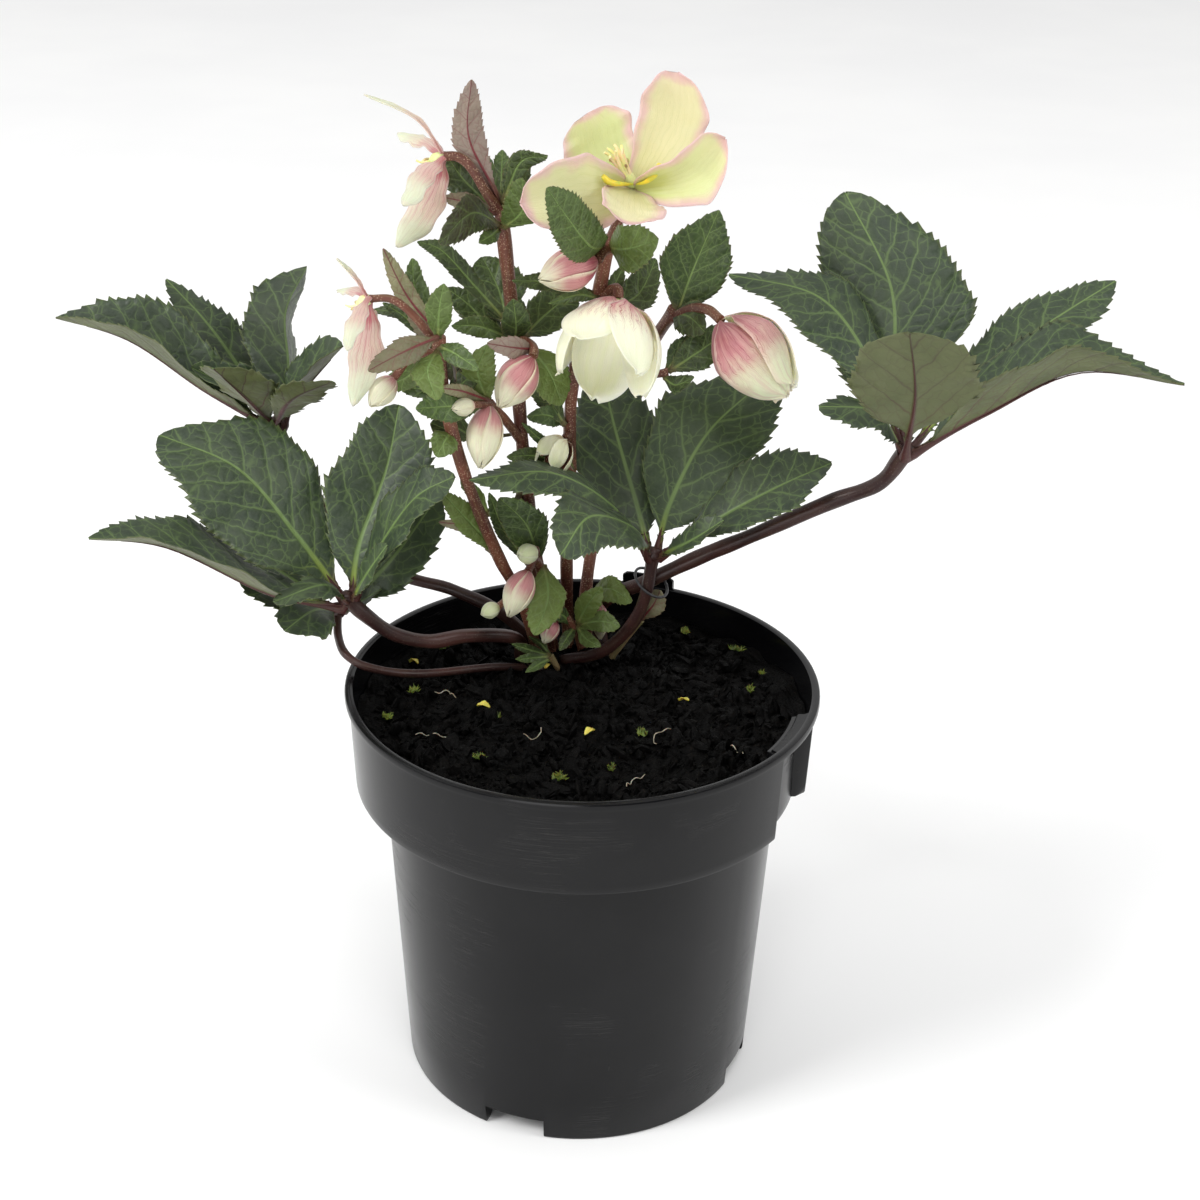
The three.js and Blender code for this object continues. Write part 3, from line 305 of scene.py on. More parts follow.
def sepalMaterial(name, **changes):
    look = sepalLook | changes
    glow = {"Subsurface_Weight": look["softness"], "Subsurface_Scale": look["depth"]}
    material = startMaterial(name, 0.48, Sheen_Weight=0.06, Subsurface_Radius=(1.0, 0.8, 0.5), **glow)
    across, along, side, share, number, tint = bladePlace(material)
    number = number * 5.1
    flat = place3(across / 10.0, along / 10.0, number)
    wobble, fineWobble = grain(flat, 0.9, 3.0) - 0.5, grain(flat, 3.5, 2.0) - 0.5
    # veins fan out from the foot and fork on their way
    width = look["veinWidth"]
    lanes = side * look["veinCount"] + wobble * 1.6 + fineWobble * 0.5
    forks = abs(calc("FRACT", lanes * 2.0 + fineWobble * 1.2) - 0.5)
    fork = ramp(forks, width * 1.4, 0.0) * ramp(share, 0.25, 0.5, 0.0, 0.7)
    line = calc("MAXIMUM", ramp(abs(calc("FRACT", lanes) - 0.5), width, 0.0), fork)
    streak = grain(place3(side * 7.0, share * 1.8, number), 1.0, 4.0, 0.6)
    reached = share + wobble * 0.4 + (streak - 0.5) * 0.35 + tint * look["tipShift"]
    outward = calc("MAXIMUM", abs(side), ramp(share, 0.72, 1.0)) + wobble * 0.5
    fade = ramp(reached, look["veinEnd"], look["veinEnd"] * 0.4)
    colour = paint(
        look["foot"],
        (ramp(reached, look["footEnd"] * 0.35, look["footEnd"]), look["body"]),
        (ramp(reached, look["tipStart"], look["tipEnd"]), look["tip"]),
        (ramp(streak, 0.4, 0.7, 0.0, look["streaks"]), look["streak"]),
        (tint * look["tintShare"], look["tint"]),
        (ramp(outward, look["rimStart"], 1.0, 0.0, look["rimStrength"]), look["rim"]),
        (line * fade * look["veinStrength"], look["vein"]),
    )
    return dress(material, colour, line * 0.4 + streak * 0.9 + fineWobble * 0.5, 0.00025)


openSepal = sepalMaterial("openSepal")
openUnder = sepalMaterial(
    "openUnder",
    foot=rgb(0.5, 0.45, 0.2), body=rgb(0.7, 0.48, 0.36), tip=rgb(0.7, 0.42, 0.36),
    streak=rgb(0.62, 0.56, 0.28), tint=rgb(0.72, 0.46, 0.4), tintShare=0.4, vein=rgb(0.5, 0.25, 0.22),
)
creamSepal = sepalMaterial(
    "creamSepal",
    foot=rgb(0.54, 0.18, 0.2), body=rgb(0.84, 0.82, 0.62), tip=rgb(0.82, 0.85, 0.6),
    streak=rgb(0.76, 0.77, 0.5), rim=rgb(0.86, 0.82, 0.66), vein=rgb(0.3, 0.02, 0.05), footEnd=0.6,
    tipStart=0.5, streaks=0.3, rimStart=0.8, rimStrength=0.4, veinCount=4.0, veinEnd=0.7,
    veinStrength=0.9, softness=0.2,
)
# inner sides of the cups: their own cream, partly; the base colour is raised above the outer cream to paint
# in the glow of light shining through the sepals into the shaded cup
creamInside = sepalMaterial(
    "creamInside",
    foot=rgb(0.78, 0.76, 0.45), body=rgb(0.95, 0.93, 0.68), tip=rgb(0.94, 0.95, 0.64),
    streak=rgb(0.9, 0.92, 0.55), rim=rgb(0.95, 0.92, 0.7), vein=rgb(0.8, 0.78, 0.5), veinStrength=0.25,
    softness=0.5,
)
pinkSepal = sepalMaterial(
    "pinkSepal",
    foot=rgb(0.32, 0.08, 0.1), body=rgb(0.5, 0.2, 0.21), tip=rgb(0.7, 0.72, 0.46),
    streak=rgb(0.58, 0.36, 0.31), tint=rgb(0.7, 0.5, 0.42), tintShare=0.25, rim=rgb(0.74, 0.58, 0.46),
    vein=rgb(0.27, 0.035, 0.06), tipStart=0.34, tipEnd=0.76, streaks=0.5, rimStart=0.8, rimStrength=0.5,
    veinCount=4.0, veinWidth=0.08, veinEnd=0.8, veinStrength=0.75,
)
sideSepal = sepalMaterial(
    "sideSepal",
    foot=rgb(0.4, 0.09, 0.12), body=rgb(0.58, 0.36, 0.33), tip=rgb(0.62, 0.67, 0.48),
    streak=rgb(0.58, 0.55, 0.42), tint=rgb(0.6, 0.58, 0.44), tintShare=0.25, rim=rgb(0.68, 0.56, 0.48),
    vein=rgb(0.34, 0.06, 0.1), footEnd=0.34, tipStart=0.4, tipEnd=0.85, streaks=0.5, rimStart=0.8,
    rimStrength=0.35, veinCount=3.0, veinEnd=0.85, veinStrength=0.65,
)
budSkin = sepalMaterial(
    "budSkin",
    foot=rgb(0.3, 0.055, 0.075), body=rgb(0.52, 0.2, 0.2), tip=rgb(0.76, 0.74, 0.48),
    streak=rgb(0.6, 0.34, 0.3), tintShare=0.0, tipShift=0.5, rim=rgb(0.76, 0.7, 0.46),
    vein=rgb(0.3, 0.04, 0.06), footEnd=0.46, tipStart=0.62, streaks=0.35, rimStart=0.66, veinCount=2.5,
    veinWidth=0.07, veinEnd=0.85, veinStrength=0.6,
)
paleSepal = sepalMaterial(
    "paleSepal",
    foot=rgb(0.6, 0.5, 0.32), body=rgb(0.74, 0.73, 0.48), tip=rgb(0.7, 0.75, 0.43),
    streak=rgb(0.66, 0.69, 0.38), tint=rgb(0.6, 0.7, 0.3), tintShare=0.5, rim=rgb(0.78, 0.76, 0.56),
    vein=rgb(0.42, 0.15, 0.14), footEnd=0.3, tipStart=0.5, streaks=0.4, rimStrength=0.5, veinCount=2.5,
    veinEnd=0.5, veinStrength=0.4,
)

# stems, bloom middles, wire, pot and compost
def stemMaterial(name, dark, light, streak, fleck, flecks, roughness=0.45, fleckScale=900.0, fleckSize=0.25):
    material = startMaterial(name, roughness, Specular_IOR_Level=0.36)
    place, tree = objectPlace(material), material.node_tree
    along, around = readAttribute(tree, "alongStem"), readAttribute(tree, "aroundStem")
    streaks = grain(place3(around * 14.0, along * 60.0, 0.0), 1.0)
    fromDot = addNode(tree, "ShaderNodeTexVoronoi", {"Vector": place, "Scale": fleckScale}, "Distance")
    dots = ramp(fromDot, fleckSize, fleckSize * 0.4) * ramp(grain(place, 160.0, 1.0), 0.3, 0.5)
    colour = paint(
        dark,
        (ramp(grain(place, 45.0), 0.35, 0.7), light),
        (ramp(streaks, 0.45, 0.7, 0.0, 0.5), streak),
        (dots * flecks, fleck),
    )
    return dress(material, colour, streaks * 0.8 + dots * 0.5, 0.0003, 0.7)


stalkSkin = stemMaterial(
    "stalkSkin",
    dark=rgb(0.024, 0.009, 0.008), light=rgb(0.056, 0.02, 0.016), streak=rgb(0.065, 0.04, 0.024),
    fleck=rgb(0.16, 0.11, 0.08), flecks=0.35, roughness=0.4,
)
ribSkin = stemMaterial(
    "ribSkin",
    dark=rgb(0.05, 0.014, 0.014), light=rgb(0.085, 0.028, 0.024), streak=rgb(0.09, 0.06, 0.03),
    fleck=rgb(0.16, 0.12, 0.08), flecks=0.2,
)
flowerStemSkin = stemMaterial(
    "flowerStemSkin",
    dark=rgb(0.085, 0.024, 0.016), light=rgb(0.19, 0.065, 0.038), streak=rgb(0.15, 0.1, 0.045),
    fleck=rgb(0.42, 0.28, 0.18), fleckScale=1150.0, fleckSize=0.42, flecks=0.75,
)
youngSkin = stemMaterial(
    "youngSkin",
    dark=rgb(0.16, 0.11, 0.05), light=rgb(0.25, 0.24, 0.1), streak=rgb(0.3, 0.15, 0.1),
    fleck=rgb(0.4, 0.35, 0.2), flecks=0.3, roughness=0.5,
)


def middleMaterial(name, low, high, roughness=0.5):
    material = startMaterial(name, roughness, Subsurface_Weight=0.2, Subsurface_Scale=0.002)
    place = objectPlace(material)
    colour = paint(low, (ramp(grain(place, 260.0), 0.35, 0.65), high))
    return dress(material, colour, grain(place, 1500.0, 2.0), 0.0002)


styleSkin = middleMaterial("styleSkin", rgb(0.8, 0.78, 0.3), rgb(0.9, 0.7, 0.42))
hornSkin = middleMaterial("hornSkin", rgb(0.6, 0.62, 0.08), rgb(0.85, 0.68, 0.05), 0.35)
antherSkin = middleMaterial("antherSkin", rgb(0.3, 0.2, 0.08), rgb(0.6, 0.52, 0.22))
hubSkin = middleMaterial("hubSkin", rgb(0.6, 0.66, 0.26), rgb(0.74, 0.76, 0.4))
rootSkin = middleMaterial("rootSkin", rgb(0.2, 0.17, 0.11), rgb(0.48, 0.44, 0.35))
mossSkin = middleMaterial("mossSkin", rgb(0.05, 0.09, 0.01), rgb(0.18, 0.24, 0.03))
scrapSkin = middleMaterial("scrapSkin", rgb(0.45, 0.38, 0.03), rgb(0.65, 0.55, 0.1))


def wireMaterial(dark=rgb(0.012, 0.012, 0.013), light=rgb(0.04, 0.04, 0.042)):
    material = startMaterial("tieWire", 0.5)
    wear = grain(objectPlace(material), 700.0)
    return dress(material, paint(dark, (ramp(wear, 0.4, 0.7), light)), wear, 0.0001, 0.5)


def potMaterial():
    dark, light, dust = rgb(0.0025, 0.0025, 0.003), rgb(0.0055, 0.0055, 0.006), rgb(0.1, 0.095, 0.085)
    material = startMaterial("potPlastic", 0.34, Specular_IOR_Level=0.235)
    place, tree = objectPlace(material), material.node_tree
    cloud, pebble = grain(place, 14.0, 4.0), grain(place, 900.0)
    # long fine scratches, one set level and one set slanting
    marks = 0.0
    for turn, stretch, width in ((0.06, (9.0, 9.0, 700.0), 0.009), (1.1, (12.0, 12.0, 420.0), 0.01)):
        turned = addNode(tree, "ShaderNodeMapping", {0: place, 2: (turn, turn * 0.6, 0.3), 3: stretch})
        line = ramp(abs(grain(turned, 1.0, 2.0) - 0.5), width, 0.0)
        marks = calc("MAXIMUM", marks, line * ramp(grain(place, 26.0, 2.0), 0.55, 0.68))
    dusty = ramp(grain(place, 330.0, 5.0, 0.7), 0.66, 0.78) * ramp(grain(place, 9.0, 2.0), 0.45, 0.65)
    colour = paint(dark, (ramp(cloud, 0.35, 0.7), light), (marks * 0.14, dust), (dusty * 0.4, dust))
    height = pebble * 0.25 - marks * 0.6 + cloud * 0.6
    rough = ramp(cloud, 0.3, 0.7, 0.18, 0.27) + calc("MAXIMUM", marks, dusty) * 0.2
    return dress(material, colour, height, 0.0002, 0.35, rough)


def compostMaterial():
    dark, light, fibre = rgb(0.0003, 0.00026, 0.0002), rgb(0.0019, 0.0015, 0.0012), rgb(0.012, 0.008, 0.005)
    material = startMaterial("compost", 0.75, Specular_IOR_Level=0.08)
    place = objectPlace(material)
    lump, fine = grain(place, 210.0, 4.0, 0.65), grain(place, 1400.0, 3.0, 0.7)
    fibres = ramp(grain(place, 420.0, 2.0), 0.66, 0.74) * 0.35
    colour = paint(dark, (ramp(lump, 0.35, 0.7), light), (fibres, fibre))
    return dress(material, colour, lump * 0.7 + fine * 0.5, 0.0008, 1.0, ramp(fine, 0.3, 0.7, 0.34, 0.8))


tieWire, potPlastic, compost = wireMaterial(), potMaterial(), compostMaterial()
print("materials ready")


# meshes
def newObject(name, data):
    made = bpy.data.objects.new(name, data)
    bpy.context.scene.collection.objects.link(made)
    return made


def placeMesh(name, places, edges, faces):
    mesh = bpy.data.meshes.new(name)
    mesh.from_pydata(places, edges, faces)
    return newObject(name, mesh)


def formMesh(name, form):
    mesh = bpy.data.meshes.new(name)
    form.to_mesh(mesh)
    form.free()
    return newObject(name, mesh)


def ringFaces(rows, sides):
    # quads between rings of places that all have this many sides
    faces = []
    for first in range(0, (rows - 1) * sides, sides):
        for k in range(sides):
            after = (k + 1) % sides
            faces.append((first + k, first + after, first + sides + after, first + sides + k))
    return faces


def unit(vector):
    vector = np.array(vector, float)
    return vector / np.linalg.norm(vector)


def squareTo(along):
    side = unit(np.cross(upward, along))
    return side, np.cross(along, side)


def gridNormals(grid):
    normal = np.cross(np.gradient(grid, axis=1), np.gradient(grid, axis=0))
    return normal / np.maximum(np.linalg.norm(normal, axis=2, keepdims=True), 1e-9)


def curveThrough(points, shares):
    # places at these shares of an even Catmull-Rom curve
    knots = np.array(points, float)
    knots = np.vstack([2 * knots[0] - knots[1], knots, 2 * knots[-1] - knots[-2]])
    where = np.clip(np.asarray(shares, float), 0, 1) * (len(points) - 1)
    segment = np.minimum(where.astype(int), len(points) - 2)
    w = (where - segment)[..., None]
    a, b, c, d = (knots[segment + k] for k in range(4))
    near = (2 * w**3 - 3 * w**2 + 1) * b + (w**3 - 2 * w**2 + w) * (c - a) / 2
    return near + (3 * w**2 - 2 * w**3) * c + (w**3 - w**2) * (d - b) / 2


def evenly(points, count):
    return curveThrough(points, np.linspace(0, 1, count))


class PieceMesh:
    # collects sheets and lumps of one piece, with their maps, and makes one object of them
    def __init__(self, *materials):
        self.materials = materials
        self.places, self.faces, self.slots, self.numbers, self.tints = [], [], [], [], []
        self.maps = {"ribMap": [], "shareMap": []}
        self.size = self.blades = 0

    def add(self, places, faces, slots, ribMap=None, shareMap=None, tint=0.0):
        count = len(places)
        self.places.append(places)
        self.faces += [tuple(corner + self.size for corner in face) for face in faces]
        self.slots += list(slots)
        self.maps["ribMap"].append(np.zeros((count, 2)) if ribMap is None else ribMap)
        self.maps["shareMap"].append(np.full((count, 2), 0.5) if shareMap is None else shareMap)
        self.numbers.append(np.full(count, float(self.blades)))
        self.tints.append(np.full(count, tint))
        self.size += count
        self.blades += 1

    def addSheet(self, upper, thickness, ribMap, shareMap, lowerSlot, tint):
        # a grid and its under side, closed along their edges
        rows, columns = upper.shape[:2]
        drop = rows * columns
        index = np.arange(drop).reshape(rows, columns)
        a, b, c, d = index[:-1, :-1], index[:-1, 1:], index[1:, 1:], index[1:, :-1]
        edge = np.concatenate([index[0, :-1], index[:-1, -1], index[-1, :0:-1], index[:0:-1, 0]])
        after = np.roll(edge, -1)
        below = (a + drop, d + drop, c + drop, b + drop)
        quads, slots = [], []
        rims = (edge, edge + drop, after + drop, after)
        for corners, slot in (((a, b, c, d), 0), (below, lowerSlot), (rims, 0)):
            made = np.stack(corners, -1).reshape(-1, 4).tolist()
            quads += made
            slots += [slot] * len(made)
        lower = upper - gridNormals(upper) * thickness[..., None]
        places = np.vstack([upper.reshape(-1, 3), lower.reshape(-1, 3)])
        ribs, shares = (np.vstack([np.stack(pair, -1).reshape(-1, 2)] * 2) for pair in (ribMap, shareMap))
        self.add(places, quads, slots, ribs, shares, tint)

    def addLump(self, centre, radii, slot=0, lean=None):
        # a small rounded knot
        form = bmesh.new()
        bmesh.ops.create_icosphere(form, subdivisions=3, radius=1.0)
        places = np.array([vertex.co[:] for vertex in form.verts])
        faces = [tuple(vertex.index for vertex in face.verts) for face in form.faces]
        form.free()
        swell = 1 + 0.07 * np.sin(5 * places[:, :1] + 3 * places[:, 1:2]) * np.cos(4 * places[:, 2:])
        places = places * swell * np.array(radii)
        if lean is not None:
            turn = Vector((0, 0, 1)).rotation_difference(Vector(lean)).to_matrix()
            places = places @ np.array(turn).T
        self.add(places + np.array(centre), faces, [slot] * len(faces))

    def finish(self, name, node):
        piece = placeMesh(name, np.vstack(self.places) * mm, [], self.faces)
        mesh = piece.data
        for material in self.materials:
            mesh.materials.append(material)
        mesh.polygons.foreach_set("material_index", np.array(self.slots, np.int32))
        corners = np.zeros(len(mesh.loops), np.int32)
        mesh.loops.foreach_get("vertex_index", corners)
        for mapName, values in self.maps.items():
            layer = mesh.uv_layers.new(name=mapName)
            layer.data.foreach_set("uv", np.vstack(values)[corners].astype(np.float32).ravel())
        for key, values in (("bladeNumber", self.numbers), ("bladeTint", self.tints)):
            field = mesh.attributes.new(key, "FLOAT", "POINT")
            field.data.foreach_set("value", np.concatenate(values).astype(np.float32))
        mesh.shade_smooth()
        return keep(piece, node)


def keep(piece, node):
    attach(piece, "root")
    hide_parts(node)
    return piece


# blades
def sepal(rib, half, roll, fold, widest=0.5, tip=0.5, **more):
    return {"rib": rib, "half": half, "roll": roll, "fold": fold, "widest": widest, "tip": tip} | more


def leaflet(rib, half, roll, fold, tip=0.52, **more):
    return sepal(rib, 1.03 * half, roll, fold, tip=tip, **more)


def bract(rib, half, roll, branch=None, tip=0.6, **more):
    return sepal(rib, 1.05 * half, roll, 10, tip=tip, branch=branch, **more)


leafletStyle = {
    "columns": (0.03, 0.08, 0.18, 0.32, 0.47, 0.62, 0.76, 0.89, 1.0),
    "toothSpacing": 3.9,
    "toothDepth": 1.7,
    "uneven": 0.07,  # how much the outline swings in and out along each side
    "stalk": 0.07,  # share of the length that is only a short stalk
    "wave": 1.1,
    "waves": 2.6,
    "arch": 0.06,
    "swell": 0.15,
    "thickness": 0.55,
    "ribHeight": 1.0,
    "ribWidth": 1.2,
    "hollow": False,
}
bractStyle = leafletStyle | {
    "columns": (0.07, 0.22, 0.45, 0.7, 0.88, 1.0),
    "toothSpacing": 2.6,
    "toothDepth": 0.85,
    "uneven": 0.04,
    "stalk": 0.0,
    "wave": 0.6,
    "waves": 2.0,
    "arch": 0.1,
    "thickness": 0.5,
    "ribHeight": 0.5,
    "ribWidth": 0.7,
}
sepalStyle = leafletStyle | {
    "columns": (0.1, 0.22, 0.34, 0.46, 0.58, 0.7, 0.81, 0.91, 1.0),
    "toothSpacing": 0,
    "toothDepth": 0.0,
    "uneven": 0.05,
    "stalk": 0.0,
    "rows": 40,
    "wave": 0.9,
    "waves": 2.3,
    "arch": 0.0,
    "thickness": 0.6,
    "ribHeight": 0.0,
    "hollow": True,
}
sideSepalStyle = sepalStyle | {"uneven": 0.13, "wave": 1.6, "waves": 3.1}


def outlineShare(t, widest, tip, foot=1.0):
    rising = np.sin(math.pi / 2 * np.clip(t / widest, 0, 1)) ** foot
    falling = np.maximum(np.cos(math.pi / 2 * np.clip((t - widest) / (1 - widest), 0, 1)), 0) ** tip
    return np.where(t < widest, rising, falling)


def toothRows(count, draw):
    # shares of the length of three rows for each tooth, and how far each stands out
    steps = draw.uniform(0.7, 1.3, count)
    ends = np.concatenate([[0], np.cumsum(steps)]) / steps.sum()
    deep = draw.uniform(0.6, 1.25, count)
    shares, out = [], []
    for k in range(count):
        for part, level in ((0.0, 0.0), (0.5, 0.45), (0.93, 1.0)):
            shares.append(ends[k] + part * (ends[k + 1] - ends[k]))
            out.append(level * deep[k])
    return np.array(shares + [1.0]), np.array(out + [0.0])


def addBlade(piece, blade, style, draw, root=None):
    rib, half = np.array(blade["rib"], float), blade["half"]
    forward = unit(rib[-1] - rib[0])
    level = unit(np.cross(forward, upward))
    right = np.array(Matrix.Rotation(math.radians(blade["roll"]), 3, Vector(forward)) @ Vector(level))
    above = np.cross(right, forward)
    length = np.linalg.norm(np.diff(evenly(rib, 30), axis=0), axis=1).sum()
    spread = np.array(style["columns"])
    s = np.concatenate([-spread[::-1], [0], spread])
    size = np.abs(s)
    if style["toothSpacing"]:
        count = max(3, round(length / style["toothSpacing"]))
        sides = [toothRows(count, draw), toothRows(count, draw)]
    else:
        even = np.linspace(0, 1, style["rows"] + 1)
        sides = [(even, np.zeros(len(even)))] * 2

    def bySide(left, right):
        return np.where(s < 0, left, right)

    middle = np.linspace(0, 1, len(sides[0][0]))
    sideShare, tooth = (bySide(sides[0][k][:, None], sides[1][k][:, None]) for k in (0, 1))
    t = middle[:, None] * (1 - size**2) + sideShare * size**2
    phases = draw.uniform(0, fullTurn, 8)
    bare = blade.get("stalk", style["stalk"])
    share = outlineShare((t - bare) / (1 - bare), blade["widest"], blade["tip"], blade.get("foot", 1.0))
    swing = np.sin(9 * t + bySide(phases[4], phases[5])) + 0.7 * np.sin(21 * t + bySide(phases[6], phases[7]))
    share = share * (1 + style["uneven"] * swing)
    least = min(0.5, 1.3 / half)
    share = np.maximum(share, np.where(t < 0.5, least, least / 4))
    reach = half * share * size
    # teeth, which fade towards the foot and the tip
    fade = np.clip(t / 0.12, 0, 1) * np.clip((1.02 - t) / 0.15, 0, 1)
    atEdge = np.clip((size - 0.86) / 0.14, 0, 1)
    bite = style["toothDepth"] * min(1, half / 8) * tooth * fade * atEdge
    reach = reach + bite - 0.5 * style["toothDepth"] * min(1, half / 8) * fade * atEdge
    rise, run = math.sin(math.radians(blade["fold"])), math.cos(math.radians(blade["fold"]))
    lift = reach * rise * (size if style["hollow"] else np.ones_like(size))
    small = min(1, half / 12)
    wavy = np.sin(fullTurn * style["waves"] * t + bySide(phases[0], phases[1]))
    wavy = wavy + 0.4 * np.sin(fullTurn * 2.3 * style["waves"] * t + phases[2])
    lift = lift + style["wave"] * small * size**2 * wavy * np.sin(math.pi * np.clip(t, 0.02, 0.98)) ** 0.5
    lift = lift - style["arch"] * half * share * (size**2 - 0.5)
    along = t * length
    course = along - veinCourse["slope"] * reach - veinCourse["bend"] * reach**2
    turns = course / veinCourse["spacing"] + 0.5 + veinCourse["offset"] * (s < 0)
    swell = 0.5 - 0.5 * np.cos(fullTurn * turns)
    lift = lift + style["swell"] * (swell - 0.5) * np.clip(4 * size * (1 - size), 0, 1) * small
    upper = curveThrough(rib, t)
    upper = upper + (np.sign(s) * reach * run)[..., None] * right + lift[..., None] * above
    upper = upper + (0.5 * bite)[..., None] * forward
    size = np.tile(size, t.shape[:1] + (1,))
    if root is not None:
        foot = np.array(root)[None, None, :] + (0.5 * s)[None, :, None] * right
        upper = np.concatenate([foot, upper])
        t, reach, along, size = (np.vstack([grid[:1], grid]) for grid in (t, reach, along, size))
    ridge = style["ribHeight"] * (1 - t) * np.exp(-((reach / style["ribWidth"]) ** 2))
    thickness = style["thickness"] * (1 - 0.6 * size**3) + ridge
    ribMap = (np.sign(s) * reach / 100, along / 100)
    shareMap = (np.tile((s + 1) / 2, t.shape[:1] + (1,)), t)
    tint = blade.get("tint", draw.uniform(-0.6, 0.6))
    piece.addSheet(upper, thickness, ribMap, shareMap, 1, tint)
    return above


# stems, made by one tree of nodes that follows their paths
def startTree(name, output, **inputs):
    # an empty Geometry Nodes tree with named inputs
    tree = bpy.data.node_groups.new(name, "GeometryNodeTree")
    for key, kind in inputs.items():
        tree.interface.new_socket(key.replace("_", " "), in_out="INPUT", socket_type="NodeSocket" + kind)
    tree.interface.new_socket(output, in_out="OUTPUT", socket_type="NodeSocketGeometry")
    given = tree.nodes.new("NodeGroupInput").outputs
    return tree, {key: Field(tree, given[key.replace("_", " ")]) for key in inputs}


def endTree(geometry, material):
    # every tree ends as plain geometry that wears its material
    tree = geometry.tree
    whole = addNode(tree, "GeometryNodeRealizeInstances", {"Geometry": geometry})
    whole = addNode(tree, "GeometryNodeSetMaterial", {"Geometry": whole, "Material": material})
    addNode(tree, "NodeGroupOutput", {0: whole})
    return tree


def storeNumber(geometry, name, value):
    inputs = {"Geometry": geometry, "Name": name, "Value": value}
    kind = "GeometryNodeStoreNamedAttribute"
    return addNode(geometry.tree, kind, inputs, data_type="FLOAT", domain="POINT")


def scatter(seed, shape, turnLow, turnHigh, size, **where):
    # copies of a shape on the faces of a mesh, each turned and sized by chance
    tree, spread = seed.tree, where | {"Seed": seed}
    points = addNode(tree, "GeometryNodeDistributePointsOnFaces", spread, distribute_method="RANDOM")
    turned = randomPlace(turnLow, turnHigh, seed)
    laid = {"Points": points, "Instance": shape, "Rotation": turned, "Scale": size}
    return addNode(tree, "GeometryNodeInstanceOnPoints", laid)


def randomPlace(low, high, seed):
    inputs = {"Min": low, "Max": high, "Seed": seed}
    return addNode(seed.tree, "FunctionNodeRandomValue", inputs, data_type="FLOAT_VECTOR")


def runNodes(piece, tree, values):
    # runs a tree on a piece and keeps the result as a plain mesh
    modifier = piece.modifiers.new("nodes", "NODES")
    modifier.node_group = tree
    for item in tree.interface.items_tree:
        if item.in_out == "INPUT" and item.name in values:
            modifier[item.identifier] = values[item.name]
    settle(piece)


def settle(piece):
    # puts what the modifiers make in place of the piece's own mesh
    old = piece.data
    evaluated = piece.evaluated_get(bpy.context.evaluated_depsgraph_get())
    piece.data = bpy.data.meshes.new_from_object(evaluated)
    piece.modifiers.clear()
    bpy.data.meshes.remove(old)
    piece.data.name = piece.name


def tubeTree():
    inputs = {"Paths": "Geometry", "Sides": "Int", "Ridge_depth": "Float", "Skin": "Material"}
    tree, given = startTree("stemTubes", "Tubes", **inputs)
    curves = addNode(tree, "GeometryNodeMeshToCurve", {"Mesh": given["Paths"]})
    thick = addNode(tree, "GeometryNodeInputNamedAttribute", {"Name": "thickness"}, data_type="FLOAT")
    curves = addNode(tree, "GeometryNodeSetCurveRadius", {"Curve": curves, "Radius": thick})
    curves = storeNumber(curves, "alongStem", addNode(tree, "GeometryNodeSplineParameter", None, "Length"))
    ring = addNode(tree, "GeometryNodeCurvePrimitiveCircle", {"Resolution": given["Sides"], "Radius": 1.0})
    # low ribs along the stem
    turn = addNode(tree, "GeometryNodeSplineParameter", None, "Factor")
    ring = storeNumber(ring, "aroundStem", turn)
    wave = calc("SINE", turn * (fullTurn * 5)) * given["Ridge_depth"] + 1.0
    ribbed = scaled(addNode(tree, "GeometryNodeInputPosition"), wave)
    ring = addNode(tree, "GeometryNodeSetPosition", {"Geometry": ring, "Position": ribbed})
    swept = {"Curve": curves, "Profile Curve": ring, "Scale": thick, "Fill Caps": True}
    sweep = addNode(tree, "GeometryNodeCurveToMesh", swept)
    return endTree(addNode(tree, "GeometryNodeSetShadeSmooth", {"Geometry": sweep}), given["Skin"])


def smoothLine(points, radius, footSwell=0.0, tipSwell=0.0, step=2.5):
    # the places of a stem, close enough for a smooth bend, with its radius along them
    rough = np.linalg.norm(np.diff(np.array(points, float), axis=0), axis=1).sum()
    shares = np.linspace(0, 1, max(4, int(rough / step)))
    swell = footSwell * np.exp(-shares * rough / 6)
    radii = radius * (1 + swell + tipSwell * np.exp(-(1 - shares) * rough / 5))
    radii = radii * (1 + 0.04 * np.sin(shares * rough / 7) + 0.03 * np.sin(shares * rough / 2.9 + 1))
    return curveThrough(points, shares), radii


stemTubes = tubeTree()
ridgeDepth = 0.05  # of a stem's radius


def plainName(words):
    first, *rest = words.split("_")
    return first + "".join(word.capitalize() for word in rest)


def addStems(name, lines, skin, node, sides=14):
    # tubes along lines: each line is its places and their radii
    places, edges, radii = [], [], []
    for line, radius in lines:
        start = len(places)
        places += [tuple(np.array(place) * mm) for place in line]
        radii += list(np.broadcast_to(np.asarray(radius, float) * mm, len(line)))
        edges += [(start + k, start + k + 1) for k in range(len(line) - 1)]
    piece = placeMesh(name, places, edges, [])
    field = piece.data.attributes.new("thickness", "FLOAT", "POINT")
    field.data.foreach_set("value", np.array(radii, np.float32))
    runNodes(piece, stemTubes, {"Sides": sides, "Ridge depth": ridgeDepth, "Skin": skin})
    keep(piece, node)


# camera and light
view = {
    "place": (0.00647, -0.74598, 0.57937),
    "pitch": 26.12,  # degrees below the level
    "roll": 1.089,
    "lens": 62.03,
    "sensor": 36,
}
lights = {  # place, aim, size and power
    "windowLeft": ((-3.2, -1.6, 3.0), (0, 0, 0.2), 1.8, 122),
    "fillRight": ((3.4, -1.2, 2.0), (0, 0, 0.2), 1.6, 45),
    "topFront": ((0.3, -2.2, 3.6), (0, 0.1, 0.2), 1.6, 48),
    "lowFront": ((-0.7, -2.4, 0.45), (0, 0, 0.33), 1.5, 20),
}


